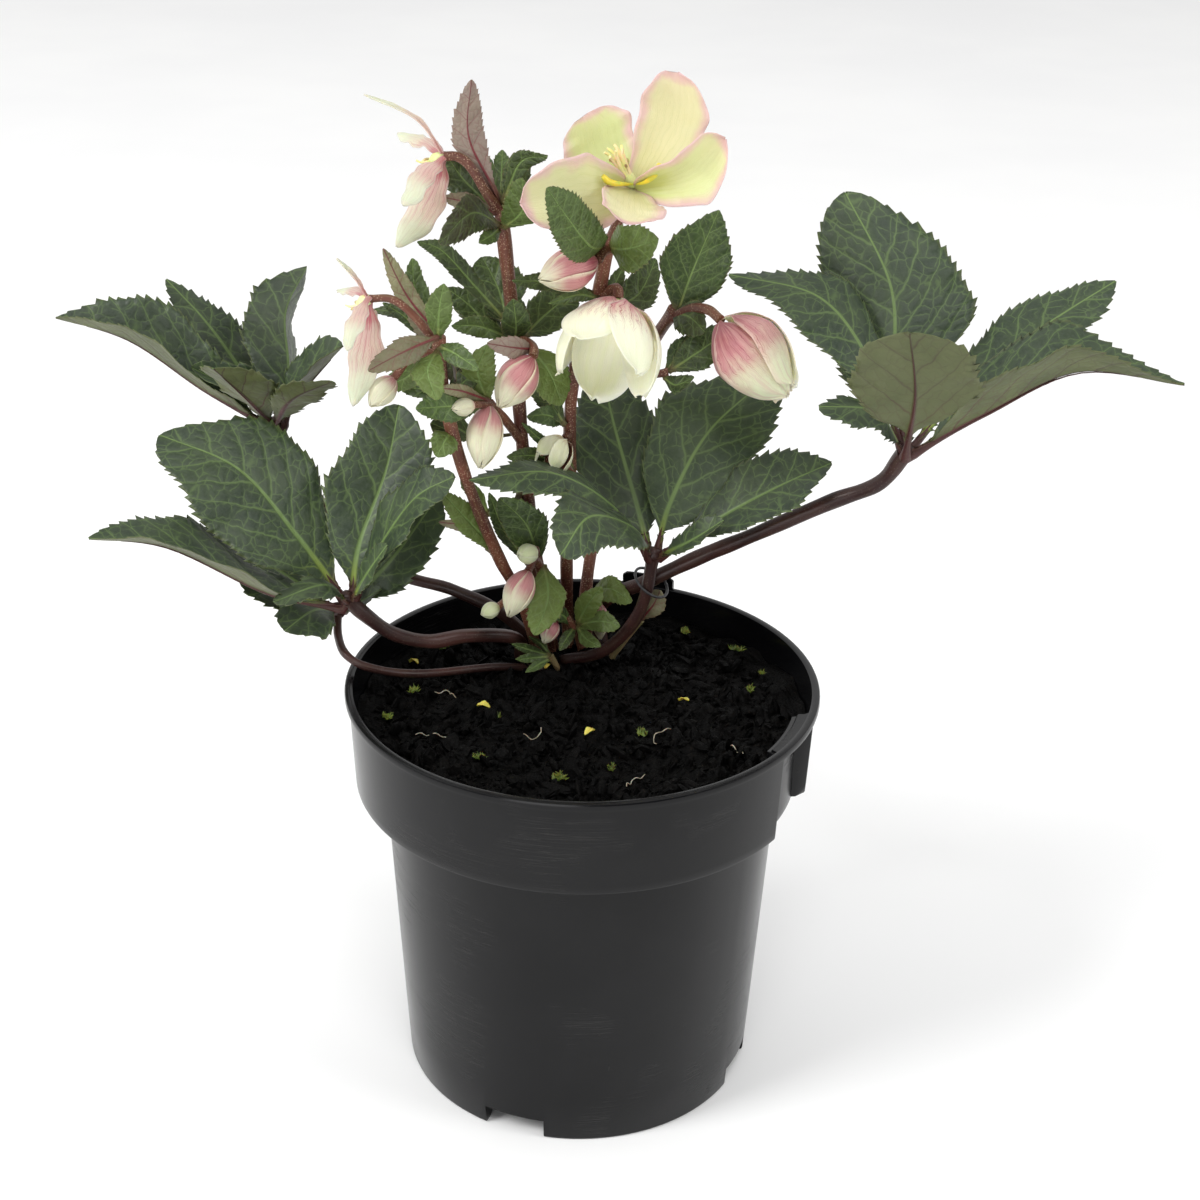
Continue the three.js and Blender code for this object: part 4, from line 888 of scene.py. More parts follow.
def addCamera():
    pitch, roll = math.radians(view["pitch"]), math.radians(view["roll"])
    level = Vector((1, 0, 0))
    rise = Vector((0, math.sin(pitch), math.cos(pitch)))
    ahead = Vector((0, math.cos(pitch), -math.sin(pitch)))
    across = math.cos(roll) * level + math.sin(roll) * rise
    upright = math.cos(roll) * rise - math.sin(roll) * level
    lens = bpy.data.cameras.new("camera")
    lens.lens = view["lens"]
    lens.sensor_width = view["sensor"]
    lens.clip_start = 0.01
    camera = newObject("camera", lens)
    turn = Matrix((across, upright, -ahead)).transposed()
    camera.matrix_world = Matrix.Translation(view["place"]) @ turn.to_4x4()
    bpy.context.scene.camera = camera


def addStudio():
    scene = bpy.context.scene
    scene.view_settings.view_transform = "Standard"
    scene.world = bpy.data.worlds.new("studio")
    scene.world.use_nodes = True
    tree = scene.world.node_tree
    # a pale room, darker behind the camera
    ahead = parts(addNode(tree, "ShaderNodeTexCoord", None, "Generated"))[1]
    background = tree.nodes["Background"].inputs
    background["Color"].default_value = rgb(1.0, 1.0, 1.0)
    tree.links.new(ramp(ahead, -0.75, 0.35, 0.1, 0.95).socket, background["Strength"])
    for name, (place, aim, size, power) in lights.items():
        light = bpy.data.lights.new(name, "AREA")
        light.shape = "DISK"
        light.size = size
        light.energy = power
        made = newObject(name, light)
        made.location = place
        made.rotation_euler = (Vector(aim) - Vector(place)).to_track_quat("-Z", "Y").to_euler()
    material = startMaterial("paleFloor", 0.9)
    place = objectPlace(material)
    colour = paint(rgb(0.92, 0.92, 0.92), (ramp(grain(place, 3.0), 0.3, 0.7), rgb(0.95, 0.95, 0.945)))
    dress(material, colour, grain(place, 400.0, 2.0), 0.0001, 0.2)
    floor = placeMesh("floor", [(-8, -8, 0), (8, -8, 0), (8, 8, 0), (-8, 8, 0)], [], [(0, 1, 2, 3)])
    floor.data.materials.append(material)


addCamera()
addStudio()


# pot
potLook = {
    "height": 177.0,
    "rimRadius": 97.0,
    "rimDepth": 3.0,
    "collarTopRadius": 95.4,
    "collarRadius": 93.6,
    "collarBottom": 135.0,
    "bodyTopRadius": 81.7,
    "footRadius": 74.0,
    "wall": 1.8,
    "footHeight": 9.0,
    "footRingWidth": 6.0,
    "contactRadius": 50.0,
    "notches": 4,
    "notchWidth": 26.0,
    "firstNotch": -110.0,
    "drains": 6,
    "drainRadius": 4.0,
    "firstDrain": 22.5,
    "recess": (-33.0, -13.0, 88.6),
    "tab": (66.0, 80.0, 5.0),
}


def addPot():
    look = potLook
    top, wall = look["height"], look["wall"]
    underRim = top - look["rimDepth"]
    collar, crown = look["collarRadius"], look["collarTopRadius"]
    ledge, ringIn = look["collarBottom"], look["footRadius"] - look["footRingWidth"]
    foot, contact, rise = look["footRadius"], look["contactRadius"], look["footHeight"]
    body, rim = look["bodyTopRadius"], look["rimRadius"]
    start, end, sunk = look["recess"]
    # radius, height and, inside the finger recess, the radius there
    profile = [
        (0, 0.6), (contact - 12, 0.5), (contact - 8, 0.0), (contact - 0.8, 0.0), (contact, 0.6),
        (contact + 1.8, rise - 0.6), (contact + 2.6, rise), (ringIn - 0.8, rise), (ringIn, rise - 0.7),
        (ringIn + 0.2, 0.8), (ringIn + 1.0, 0.0), (foot - 1.2, 0.0), (foot - 0.3, 0.5), (foot, 1.4),
    ]
    for share in (0.15, 0.3, 0.45, 0.6, 0.75, 0.9, 0.97):
        profile.append((foot + (body - foot) * share, ledge * share))
    profile += [
        (body - 0.05, ledge - 1.2), (body + 0.4, ledge - 0.3), (body + 1.2, ledge),
        (collar - 1.0, ledge, sunk - 1.0), (collar - 0.3, ledge + 0.2, sunk - 0.3),
        (collar, ledge + 0.9, sunk),
    ]
    for share in (0.1, 0.3, 0.5, 0.7, 0.9, 0.96):
        profile.append((collar + (crown - collar) * share, ledge + (underRim - ledge) * share, sunk))
    profile += [
        (crown, underRim - 0.5, sunk), (crown + 0.2, underRim, sunk + 0.5), (rim - 0.5, underRim),
        (rim - 0.1, underRim + 0.2), (rim, underRim + 0.7), (rim, top - 0.9), (rim - 0.3, top - 0.25),
        (rim - 0.9, top), (crown - wall + 0.6, top), (crown - wall + 0.1, top - 0.3),
        (crown - wall, top - 1.0), (crown - wall - 0.05, underRim),
        (crown - wall - 0.1, underRim - 1.5, sunk - wall),
    ]
    for share in (0.9, 0.7, 0.5, 0.3, 0.1):
        level = ledge + wall + (underRim - ledge - wall) * share
        profile.append((collar + (crown - collar) * share - wall, level, sunk - wall))
    profile += [
        (collar - wall, ledge + wall + 0.6, sunk - wall),
        (collar - wall - 0.8, ledge + wall, sunk - wall - 0.8), (body - wall + 1.0, ledge + wall),
        (body - wall + 0.1, ledge + wall - 0.5), (body - wall, ledge + 0.4),
    ]
    for share in (0.8, 0.6, 0.4, 0.2):
        profile.append((foot + (body - foot) * share - wall + 0.1, rise + (ledge - rise) * share))
    profile += [
        (foot + 0.4 - wall, rise + wall + 0.8), (foot - 0.6 - wall, rise + wall), (contact + 1, rise + wall),
        (contact - 1, wall + 0.6), (contact - 2, wall), (0, wall + 0.5),
    ]
    angles = list(np.arange(0, 360, 2.5))
    for edge in (start, end):
        angles += [(edge + off) % 360 for off in (-1.5, -1.2, -0.9, -0.6, -0.3, 0.0, 0.3)]
    angles = sorted(set(round(float(angle), 3) for angle in angles))
    places, count, rows = [], len(angles), len(profile) - 2
    for radius, level, *inner in profile[1:-1]:
        for angle in angles:
            near = (angle + 180) % 360 - 180
            inside = min(max(min(near - start, end - near) / 1.2 + 1.0, 0.0), 1.0)
            inside = inside * inside * (3 - 2 * inside)
            reach = radius + (inner[0] - radius) * inside if inner else radius
            turn = math.radians(angle)
            places.append((reach * math.cos(turn), reach * math.sin(turn), level))
    faces = ringFaces(rows, count)
    for centre, row, step in ((profile[0], 0, -1), (profile[-1], rows - 1, 1)):
        places.append((0, 0, centre[1]))
        middle = len(places) - 1
        faces += [(row * count + k, row * count + (k + 1) % count, middle)[::step] for k in range(count)]
    pot = placeMesh("nurseryPot", np.array(places) * mm, [], faces)
    form = bmesh.new()
    form.from_mesh(pot.data)
    bmesh.ops.recalc_face_normals(form, faces=form.faces)
    form.to_mesh(pot.data)
    form.free()
    cutter, tab = formMesh("cutters", potCutters(look, ringIn)), addTab(look)
    for operation, tool in (("DIFFERENCE", cutter), ("UNION", tab)):
        change = pot.modifiers.new(operation, "BOOLEAN")
        change.operation = operation
        change.solver = "EXACT"
        change.object = tool
    settle(pot)
    bpy.data.objects.remove(cutter)
    bpy.data.objects.remove(tab)
    pot.data.materials.clear()
    pot.data.materials.append(potPlastic)
    pot.data.shade_smooth()
    pot.data.set_sharp_from_angle(angle=math.radians(38))
    keep(pot, "pot")


def potCutters(look, ringIn):
    # the notches of the foot ring and the drain holes
    rise, ring = look["footHeight"], look["footRingWidth"]
    cutters = bmesh.new()
    for k in range(look["notches"]):
        turn = Matrix.Rotation(math.radians(look["firstNotch"] + 360 / look["notches"] * k), 4, "Z")
        shift = Matrix.Translation(((look["footRadius"] - ring / 2) * mm, 0, (rise - 1) / 2 * mm))
        size = Matrix.Diagonal(((ring + 8) * mm, look["notchWidth"] * mm, (rise + 1) * mm, 1))
        bmesh.ops.create_cube(cutters, size=1, matrix=turn @ shift @ size)
    hole = {"cap_ends": True, "segments": 28, "depth": 8 * mm}
    hole["radius1"] = hole["radius2"] = look["drainRadius"] * mm
    for k in range(look["drains"]):
        turn = Matrix.Rotation(math.radians(look["firstDrain"] + 360 / look["drains"] * k), 4, "Z")
        out = (look["contactRadius"] + ringIn) / 2 + 1
        shift = Matrix.Translation((out * mm, 0, (rise + look["wall"] / 2) * mm))
        bmesh.ops.create_cone(cutters, matrix=turn @ shift, **hole)
    return cutters


def addTab(look):
    # the label tab that stands up from the rim
    start, end, rise = look["tab"]
    top, outer, inner = look["height"], look["rimRadius"], look["rimRadius"] - look["wall"]
    form = bmesh.new()
    made = []
    for angle in np.linspace(start, end, 15):
        turn = math.radians(angle)
        level = top + rise - max(0, 1.2 - min(angle - start, end - angle)) ** 2 * 0.9
        section = [(outer - 0.15, top - 1), (outer - 0.15, level - 0.4), (outer - 0.5, level)]
        section += [(inner + 0.4, level), (inner, level - 0.4), (inner, top - 1)]
        ring = [(r * math.cos(turn) * mm, r * math.sin(turn) * mm, z * mm) for r, z in section]
        made.append([form.verts.new(place) for place in ring])
    for one, two in zip(made, made[1:]):
        for k in range(6):
            form.faces.new((one[k], one[(k + 1) % 6], two[(k + 1) % 6], two[k]))
    form.faces.new(made[0][::-1])
    form.faces.new(made[-1])
    bmesh.ops.recalc_face_normals(form, faces=form.faces)
    return formMesh("tab", form)


addPot()
print("pot ready")


# compost
soilLook = {
    "level": 163.0,
    "bump": 2.2,
    "gap": 0.35,
    "rings": 56,
    "sides": 144,
    "lumps": 760,
    "lumpSize": 0.0041,
    "crumbs": 3600,
    "crumbSize": 0.0016,
    "reach": 0.084,  # no lump lies further out than this
    "looseAbove": 0.155,  # only what is higher than this is loose
    "looseness": 0.0024,
}


def soilHeight(x, y):
    coarse = math.sin(0.11 * x + 1.3) * math.cos(0.13 * y - 0.4)
    fine = math.sin(0.31 * x - 0.27 * y) + math.sin(0.23 * x + 0.35 * y + 2)
    return soilLook["bump"] * (0.6 * coarse + 0.3 * fine)


def crumbTree():
    inputs = {"Ground": "Geometry", "Lump_size": "Float", "Crumb_size": "Float", "Lumps": "Float"}
    inputs.update({"Crumbs": "Float", "Reach": "Float", "Seed": "Int", "Material": "Material"})
    tree, given = startTree("compostCrumbs", "Compost", **inputs)

    def passes(operation, first, second):
        return addNode(tree, "FunctionNodeCompare", {"A": first, "B": second}, operation=operation)

    def both(first, second):
        return addNode(tree, "FunctionNodeBooleanMath", {0: first, 1: second}, operation="AND")

    def vectorMath(operation, first, second=None, output=0):
        values = {0: first} if second is None else {0: first, 1: second}
        return addNode(tree, "ShaderNodeVectorMath", values, output, operation=operation)

    topOnly = passes("GREATER_THAN", parts(addNode(tree, "GeometryNodeInputNormal"))[2], 0.4)
    place = addNode(tree, "GeometryNodeInputPosition")
    highOnly = passes("GREATER_THAN", parts(place)[2], soilLook["looseAbove"])
    out = vectorMath("LENGTH", vectorMath("MULTIPLY", place, (1.0, 1.0, 0.0)), output="Value")
    here = both(both(topOnly, highOnly), passes("LESS_THAN", out, given["Reach"]))
    together = tree.nodes.new("GeometryNodeJoinGeometry")
    tree.links.new(given["Ground"].socket, together.inputs[0])
    lump = addNode(tree, "GeometryNodeMeshUVSphere", {"Segments": 8, "Rings": 6, "Radius": 1.0})
    crumb = addNode(tree, "GeometryNodeMeshIcoSphere", {"Radius": 1.0, "Subdivisions": 1})
    sorts = (("Lump_size", "Lumps", lump, 0.0), ("Crumb_size", "Crumbs", crumb, 5.0))
    for sizeName, countName, ball, seedStep in sorts:
        seed = given["Seed"] + seedStep
        size = scaled(randomPlace((0.3, 0.25, 0.15), (1.8, 0.95, 0.55), seed), given[sizeName])
        where = {"Mesh": given["Ground"], "Selection": here, "Density": given[countName]}
        laid = scatter(seed, ball, (0.0, 0.0, 0.0), (6.28, 6.28, 6.28), size, **where)
        tree.links.new(laid.socket, together.inputs[0])
    whole = addNode(tree, "GeometryNodeRealizeInstances", {"Geometry": Field(tree, together.outputs[0])})
    push = addNode(tree, "ShaderNodeTexNoise", {"Vector": place, "Scale": 420.0, "Detail": 2.0}, "Color")
    push = scaled(vectorMath("SUBTRACT", push, (0.5, 0.5, 0.5)), soilLook["looseness"])
    loose = {"Geometry": whole, "Selection": highOnly, "Offset": push}
    rough = addNode(tree, "GeometryNodeSetPosition", loose)
    flat = addNode(tree, "GeometryNodeSetShadeSmooth", {"Geometry": rough, "Shade Smooth": False})
    return endTree(flat, given["Material"])


def addCompost():
    pot, look = potLook, soilLook
    inner, floor = pot["wall"] + look["gap"], pot["wall"] + look["gap"]
    collarHeight = pot["height"] - pot["rimDepth"] - pot["collarBottom"]
    slope = (pot["collarTopRadius"] - pot["collarRadius"]) / collarHeight
    topRadius = pot["collarRadius"] - inner + slope * (look["level"] - pot["collarBottom"])
    start, end, sunk = pot["recess"]
    rows = [
        (pot["contactRadius"] - 2, floor),
        (pot["contactRadius"], pot["footHeight"] + pot["wall"] + look["gap"]),
        (pot["footRadius"] - inner, pot["footHeight"] + pot["wall"] + look["gap"]),
        (pot["bodyTopRadius"] - inner - 0.2, pot["collarBottom"] + pot["wall"] + look["gap"]),
        (pot["collarRadius"] - inner, pot["collarBottom"] + pot["wall"] + look["gap"]),
    ]
    rows += [(topRadius * share, None) for share in np.linspace(1, 0.02, look["rings"])]
    places, sides = [], look["sides"]
    for radius, level in rows:
        for k in range(sides):
            angle = 360 / sides * k
            near = (angle + 180) % 360 - 180
            reach = min(radius, sunk - inner) if start - 3 < near < end + 3 else radius
            x, y, z = reach * math.cos(math.radians(angle)), reach * math.sin(math.radians(angle)), level
            if level is None:
                rough = noise.noise(Vector((x * 0.09, y * 0.09, 3)))
                rough = rough + 0.5 * noise.noise(Vector((x * 0.3, y * 0.3, 7)))
                z = look["level"] + soilHeight(x, y) + 1.3 * rough
            places.append((x * mm, y * mm, z * mm))
    faces = ringFaces(len(rows), sides)
    faces.append(tuple(range(sides))[::-1])
    faces.append(tuple((len(rows) - 1) * sides + k for k in range(sides)))
    ground = placeMesh("compost", places, [], faces)
    area = math.pi * (topRadius * mm) ** 2
    sizes = {"Lump size": look["lumpSize"], "Crumb size": look["crumbSize"], "Reach": look["reach"]}
    sizes.update({"Lumps": look["lumps"] / area, "Crumbs": look["crumbs"] / area})
    runNodes(ground, crumbTree(), sizes | {"Seed": plantSeed, "Material": compost})
    keep(ground, "soil")


addCompost()
print("compost ready")

litterLook = {
    "moss": [(66, 50), (76, 31), (70, 18), (-79, -12), (44, 68), (-60, 50), (-35, -10), (-40, -44), (12, -50),
             (24, -24), (-8, -58), (-70, 8)],
    "mossSpread": 3.4,
    "mossSides": 12,
    "mossBlades": 90,
    "mossLength": 0.0019,
    "mossWidth": 0.00035,
    "roots": [(-52, -1), (-23, -28), (64, -41), (-66, -30), (18, -66), (36, -22)],
    "rootLength": 13.0,
    "rootThickness": 0.19,
    "scraps": [(-74, 32), (-16, 28), (-43, -5), (5, -22), (40, 6)],
    "scrapLength": 5.5,
    "scrapWidth": 1.5,
}


def onCompost(x, y, above=3.0):
    return [x, y, soilLook["level"] + soilHeight(x, y) + above]


def mossTree():
    inputs = {"Patches": "Geometry", "Density": "Float", "Length": "Float", "Width": "Float"}
    tree, given = startTree("mossTufts", "Moss", **inputs, Seed="Int", Material="Material")
    seed, width = given["Seed"], given["Width"]
    shape = {"Vertices": 4, "Radius Top": 0.1, "Radius Bottom": 1.0, "Depth": 1.0}
    blade = addNode(tree, "GeometryNodeMeshCone", shape)
    grown = addNode(tree, "FunctionNodeRandomValue", {2: 0.5, 3: 1.4, "Seed": seed}, 1)
    size = scaled(place3(width, width, given["Length"]), grown)
    where = {"Mesh": given["Patches"], "Density": given["Density"]}
    tufts = scatter(seed, blade, (-1.0, -1.0, 0.0), (1.0, 1.0, 6.28), size, **where)
    return endTree(tufts, given["Material"])


def addLitter():
    look = litterLook
    draw = np.random.default_rng(plantSeed + 7)
    places, faces, sides = [], [], look["mossSides"]
    turns = np.linspace(0, fullTurn, sides, endpoint=False)
    for x, y in look["moss"]:
        reach = look["mossSpread"] * draw.uniform(0.35, 1.0) * draw.uniform(0.4, 1.0, sides)
        faces.append(tuple(range(len(places), len(places) + sides)))
        for turn, out in zip(turns, reach):
            spot = onCompost(x + out * math.cos(turn), y + out * math.sin(turn), 2.2)
            places.append(tuple(mm * value for value in spot))
    moss = placeMesh("mossPatches", places, [], faces)
    area = math.pi * (0.75 * look["mossSpread"] * mm) ** 2
    values = {"Density": look["mossBlades"] / area, "Length": look["mossLength"], "Width": look["mossWidth"]}
    runNodes(moss, mossTree(), values | {"Seed": plantSeed, "Material": mossSkin})
    keep(moss, "soil")
    lines = []
    for x, y in look["roots"]:
        heading, spot, line = draw.uniform(0, 6.28), np.array([x, y], float), []
        for step in range(7):
            line.append(onCompost(*spot, 3.4 + 0.8 * math.sin(2.1 * step)))
            heading += draw.uniform(-0.7, 0.7)
            spot = spot + look["rootLength"] / 6 * np.array([math.cos(heading), math.sin(heading)])
        lines.append((evenly(line, 16), look["rootThickness"]))
    addStems("rootBits", lines, rootSkin, "soil", 7)
    made = PieceMesh(scrapSkin, scrapSkin)
    for x, y in look["scraps"]:
        turn, long = draw.uniform(0, 6.28), look["scrapLength"]
        ends = [onCompost(x + share * long * math.cos(turn), y + share * long * math.sin(turn), lift)
                for share, lift in ((0, 3.6), (0.5, 4.8), (1, 4.0))]
        addBlade(made, sepal(ends, look["scrapWidth"], draw.uniform(-25, 25), 15, tip=0.6), bractStyle, draw)
    made.finish("leafScraps", "soil")


addLitter()
print("litter ready")


# leaves on their stalks
def rooted(points, radius, rootDepth=11.0):
    # a stem that stands in the soil at its first place
    return [points[0][:2] + [soilLook["level"] - rootDepth]] + points, radius


leafStalks = {
    "left_back": rooted(
        [[-22, 56, 164], [-37, 55, 180], [-58, 58, 189], [-82, 62, 195], [-108, 66, 217],
         [-127, 70, 245], [-132, 70, 258]], 2.6,
    ),
    "left_front": rooted(
        [[-27, 42, 164], [-29, 34, 178], [-48, 22, 185], [-64, 18, 184], [-79, 15, 189],
         [-91, 12, 200], [-96, 11, 206]], 3,
    ),
    "centre": rooted([[-10, 43, 162], [7, 36, 171], [19, 32, 185], [25, 29, 200], [28, 28, 220]], 2.6),
    "right": rooted(
        [[8, 50, 164], [7, 52, 186], [27, 35, 206], [48, 34, 218], [68, 30, 229.5],
         [99, 24, 248], [117, 16, 260], [125, 10, 275]], 3.1,
    ),
    "left_low": rooted(
        [[-16, 34, 162], [-35, 28, 167.5], [-68, 12, 172], [-87, 4, 178.5], [-97, 6, 183],
         [-102, 18, 186], [-103, 27, 192]], 1.7,
    ),
}
leaflets = {
    "left_back": [
        leaflet(
            [[-134, 70, 259], [-161, 72, 273], [-192, 76, 293], [-223, 80, 301]],
            20, -10, 50, widest=0.55, tip=0.75
        ),
        leaflet([[-134, 71, 259], [-148, 88, 275], [-164, 98, 294], [-181, 104, 311]], 12, -15, -5, tip=0.8),
        leaflet(
            [[-131, 72, 259], [-127, 80, 279], [-129, 92, 301], [-121, 106, 317]], 18.5, 60, -40, tip=0.65
        ),
        leaflet([[-130, 70, 259], [-120, 66, 275], [-101, 60, 298]], 17.5, 20, 30, widest=0.6),
        leaflet([[-134, 69, 260], [-144, 71, 271], [-165, 66, 285]], 11.5, -30, 40, widest=0.55),
        leaflet([[-133, 68, 260], [-140, 52, 277], [-150, 36, 296]], 15, 10, 20, widest=0.6),
        leaflet([[-132, 68, 260], [-121, 48, 279], [-103, 40, 290]], 9, -30, 5),
    ],
    "left_front": [
        leaflet([[-98, 12, 206], [-118, 20, 231], [-142, 32, 254], [-174, 38, 266]], 25.5, -35, 5, tip=0.6),
        leaflet([[-95, 12, 207], [-92, 20, 227], [-82, 36, 253], [-77, 46, 278]], 19.5, 20, 15, widest=0.55),
        leaflet([[-94, 10, 208], [-83, 4, 231], [-67, 0, 256], [-51, -2, 267]], 14, 35, 10),
        leaflet([[-98, 10, 204], [-127, 4, 212], [-164, -6, 236], [-193, -14, 243]], 19, 5, 25, tip=0.7),
        leaflet([[-94, 8, 208], [-86, -6, 226], [-77, -13, 242]], 6, 70, 15),
        leaflet([[-96, 8, 207], [-104, 0, 218], [-123, -10, 215]], 7, -15, -5),
    ],
    "centre": [
        leaflet([[27, 28, 220], [21, 42, 237], [11, 60, 265], [6, 72, 283]], 19, -15, -5, stalk=0.14),
        leaflet(
            [[29, 28, 221], [35, 36, 242], [50, 50, 267], [75, 66, 286]], 23, 30, 0, widest=0.55, stalk=0.14
        ),
        leaflet(
            [[30, 28, 221], [55, 20, 242], [77, 23, 254], [99, 29, 263]], 18, 25, 15, stalk=0.14, tip=0.75
        ),
        leaflet(
            [[27, 28, 220], [11, 20, 246], [-14, 8, 265], [-45, -5, 267]],
            13, -20, -15, widest=0.4, stalk=0.12, tip=0.7
        ),
        leaflet(
            [[27, 27, 220], [20, 9, 241], [2, -7, 253], [-9, -23, 244]],
            14.5, -30, -5, widest=0.55, stalk=0.12
        ),
        leaflet([[30, 26, 221], [43, 12, 235], [55, 8, 246]], 6.5, 45, 25),
    ],
    "right": [
        leaflet(
            [[125, 12, 276], [111, 24, 307], [90, 36, 330], [55, 45, 336]],
            15.5, -25, -5, stalk=0.15, tip=0.8
        ),
        leaflet(
            [[125, 12, 277], [122, 32, 302], [120, 52, 331], [102, 74, 362]],
            28.5, -30, -5, widest=0.45, stalk=0.14
        ),
        leaflet(
            [[126, 11, 276], [149, 26, 296], [179, 40, 317], [208, 46, 336]],
            16, 20, 0, widest=0.55, stalk=0.15, tip=0.75
        ),
        leaflet(
            [[126, 9, 276], [154, 4, 295], [187, 0, 314], [226, -6, 312]],
            27.5, -5, 40, widest=0.4, tip=1.2, stalk=0.1
        ),
        leaflet([[125, 8, 276], [124, -10, 307], [118, -22, 336]], 25, 10, 0, widest=0.6, stalk=0.16),
        leaflet([[124, 8, 278], [112, 6, 294], [89, -2, 299]], 9, -25, -15),
    ],
    "left_low": [
        leaflet([[-101, 28, 193], [-80, 32, 215], [-61, 42, 240]], 15, 35, 5, widest=0.55),
        leaflet([[-104, 28, 193], [-112, 18, 197], [-122, 6, 194]], 14, -10, 0, widest=0.6),
        leaflet([[-105, 28, 194], [-132, 34, 210], [-163, 42, 223]], 12.5, -15, 10, tip=0.75),
        leaflet([[-105, 26, 193], [-122, 30, 196], [-143, 26, 207]], 10, -10, 0),
        leaflet([[-101, 28, 192], [-93, 23, 199], [-84, 22, 206]], 5.5, 30, 20),
    ],
}


def addLeaf(place, seed):
    draw = np.random.default_rng(seed)
    path, radius = leafStalks[place]
    line = smoothLine(path, radius, 0.12, 0.15)
    addStems(plainName("leaf_stalk_" + place), [line], stalkSkin, "leaf_stalk_" + place)
    top = np.array(path[-1], float)
    lean = unit(top - np.array(path[-2], float))
    made = PieceMesh(leafTop, leafUnder, stalkSkin)
    made.addLump(top + lean * 1.2, (3.2, 3.2, 3.6), 2, lean)
    shares = np.concatenate([np.linspace(0, 0.2, 9), np.linspace(0.26, 0.86, 14)])
    ribs = []
    for blade in leaflets[place]:
        above = addBlade(made, blade, leafletStyle, draw, root=top + lean * 1.5)
        size = min(1.0, blade["half"] / 18)
        thick = size * (1.75 * np.exp(-shares / 0.11) + 0.75 * (1 - shares))
        line = curveThrough(blade["rib"], shares) - above * (0.35 + 0.55 * thick)[:, None]
        ribs.append((np.vstack([top + lean * 0.5, line]), np.concatenate([[2.2 * size], thick])))
    made.finish(plainName("leaf_" + place), "leaf_" + place)
    addStems(plainName("leaf_ribs_" + place), ribs, ribSkin, "leaf_" + place, 10)


for seed, place in enumerate(leafStalks, plantSeed):
    addLeaf(place, seed)
print("leaves ready")


# flower stems with their bracts
stemPaths = {
    "tall": rooted(
        [[-14, 55, 164], [-20, 42, 202], [-24, 36, 241], [-27, 32, 278], [-29, 28, 313],
         [-33, 22, 358], [-34, 22, 368]], 2.7,
    ),
    "middle": rooted(
        [[-7, 55, 164], [-8, 46, 210], [-7, 42, 248], [-7, 38, 280], [-4, 34, 307],
         [3, 30, 329], [7, 25, 354]], 2.6,
    ),
    "left": rooted(
        [[-20, 44, 164], [-26, 30, 198], [-35, 20, 222], [-47, 2, 265], [-54, -6, 300],
         [-56, -8, 326]], 2.4,
    ),
    "back": rooted(
        [[1, 58, 164], [0, 56, 186], [3, 62, 212], [10, 78, 242], [21, 78, 275],
         [26, 64, 300], [34, 50, 319]], 2.6,
    ),
    "short": rooted([[-14, 48, 164], [-15, 36, 191], [-20, 30, 219]], 2),
    "low": rooted([[-1, 50, 164], [-3, 43, 177], [-4, 36, 184]], 1.8),
    "shoot": rooted([[12, 46, 163], [16, 44, 171], [24, 42, 184]], 1.5),
    "young": rooted([[-10, 34, 161], [-14, 32, 171]], 1.2),
}
branches = {
    "tall": {
        "toSideBloom": (
            [[-34, 22, 365], [-39, 18, 374], [-45, 18, 384], [-50, 20, 387], [-55, 20, 387]], 1.8
        ),
        "toLeftBud": ([[-27, 33, 269], [-33, 20, 283], [-38, 8, 294]], 1.8),
        "toSmallBud": ([[-37, 9, 293], [-41, 1, 296], [-43, -5, 298]], 1.3),
        "toMiddleBud": ([[-29, 28, 311], [-25, 18, 316], [-21, 10, 316], [-21, 6, 314]], 1.8),
    },
    "middle": {
        "toOpenBloom": ([[7, 25, 352], [10, 26, 360], [13, 26, 369], [16, 20, 377]], 2),
        "toTopBud": ([[7, 25, 351], [5, 20, 352], [3, 14, 350]], 1.8),
        "toBell": ([[3, 29, 328], [8, 27, 334], [11, 23, 336], [11, 20, 333]], 1.9),
        "toSmallLeaf": ([[-1, 32, 316], [15, 35, 301], [25, 36, 297], [32, 36, 298]], 1.6),
        "toLowBud": ([[-7, 40, 265], [-8, 36, 270], [-9, 32, 270]], 1.5),
    },
    "left": {
        "toSideBloom": ([[-56, -8, 323], [-66, -10, 336], [-73, -10, 341], [-81, -10, 341]], 1.45),
        "toTopBud": ([[-56, -8, 320], [-66, -8, 318], [-73, -6, 309]], 1.4),
        "toLowBud": ([[-28, 28, 202], [-31, 20, 204], [-35, 16, 202]], 1.3),
    },
    "back": {
        "toBud": ([[34, 50, 316], [41, 44, 322], [47, 36, 324], [51.5, 27, 323]], 1.9),
        "toLowBud": ([[0, 56, 187], [3, 51, 192], [6, 46, 190]], 1.2),
    },
    "short": {
        "toLowBud": ([[-19, 30, 215], [-21, 24, 220], [-23, 20, 217]], 1.4),
        "toUpperBud": ([[-20, 30, 217], [-20, 25, 224], [-20, 20, 225]], 1.2),
    },
    "low": {
        "toBud": ([[-4, 36, 182], [-8, 34, 189], [-12, 32, 188]], 1.3),
    },
}
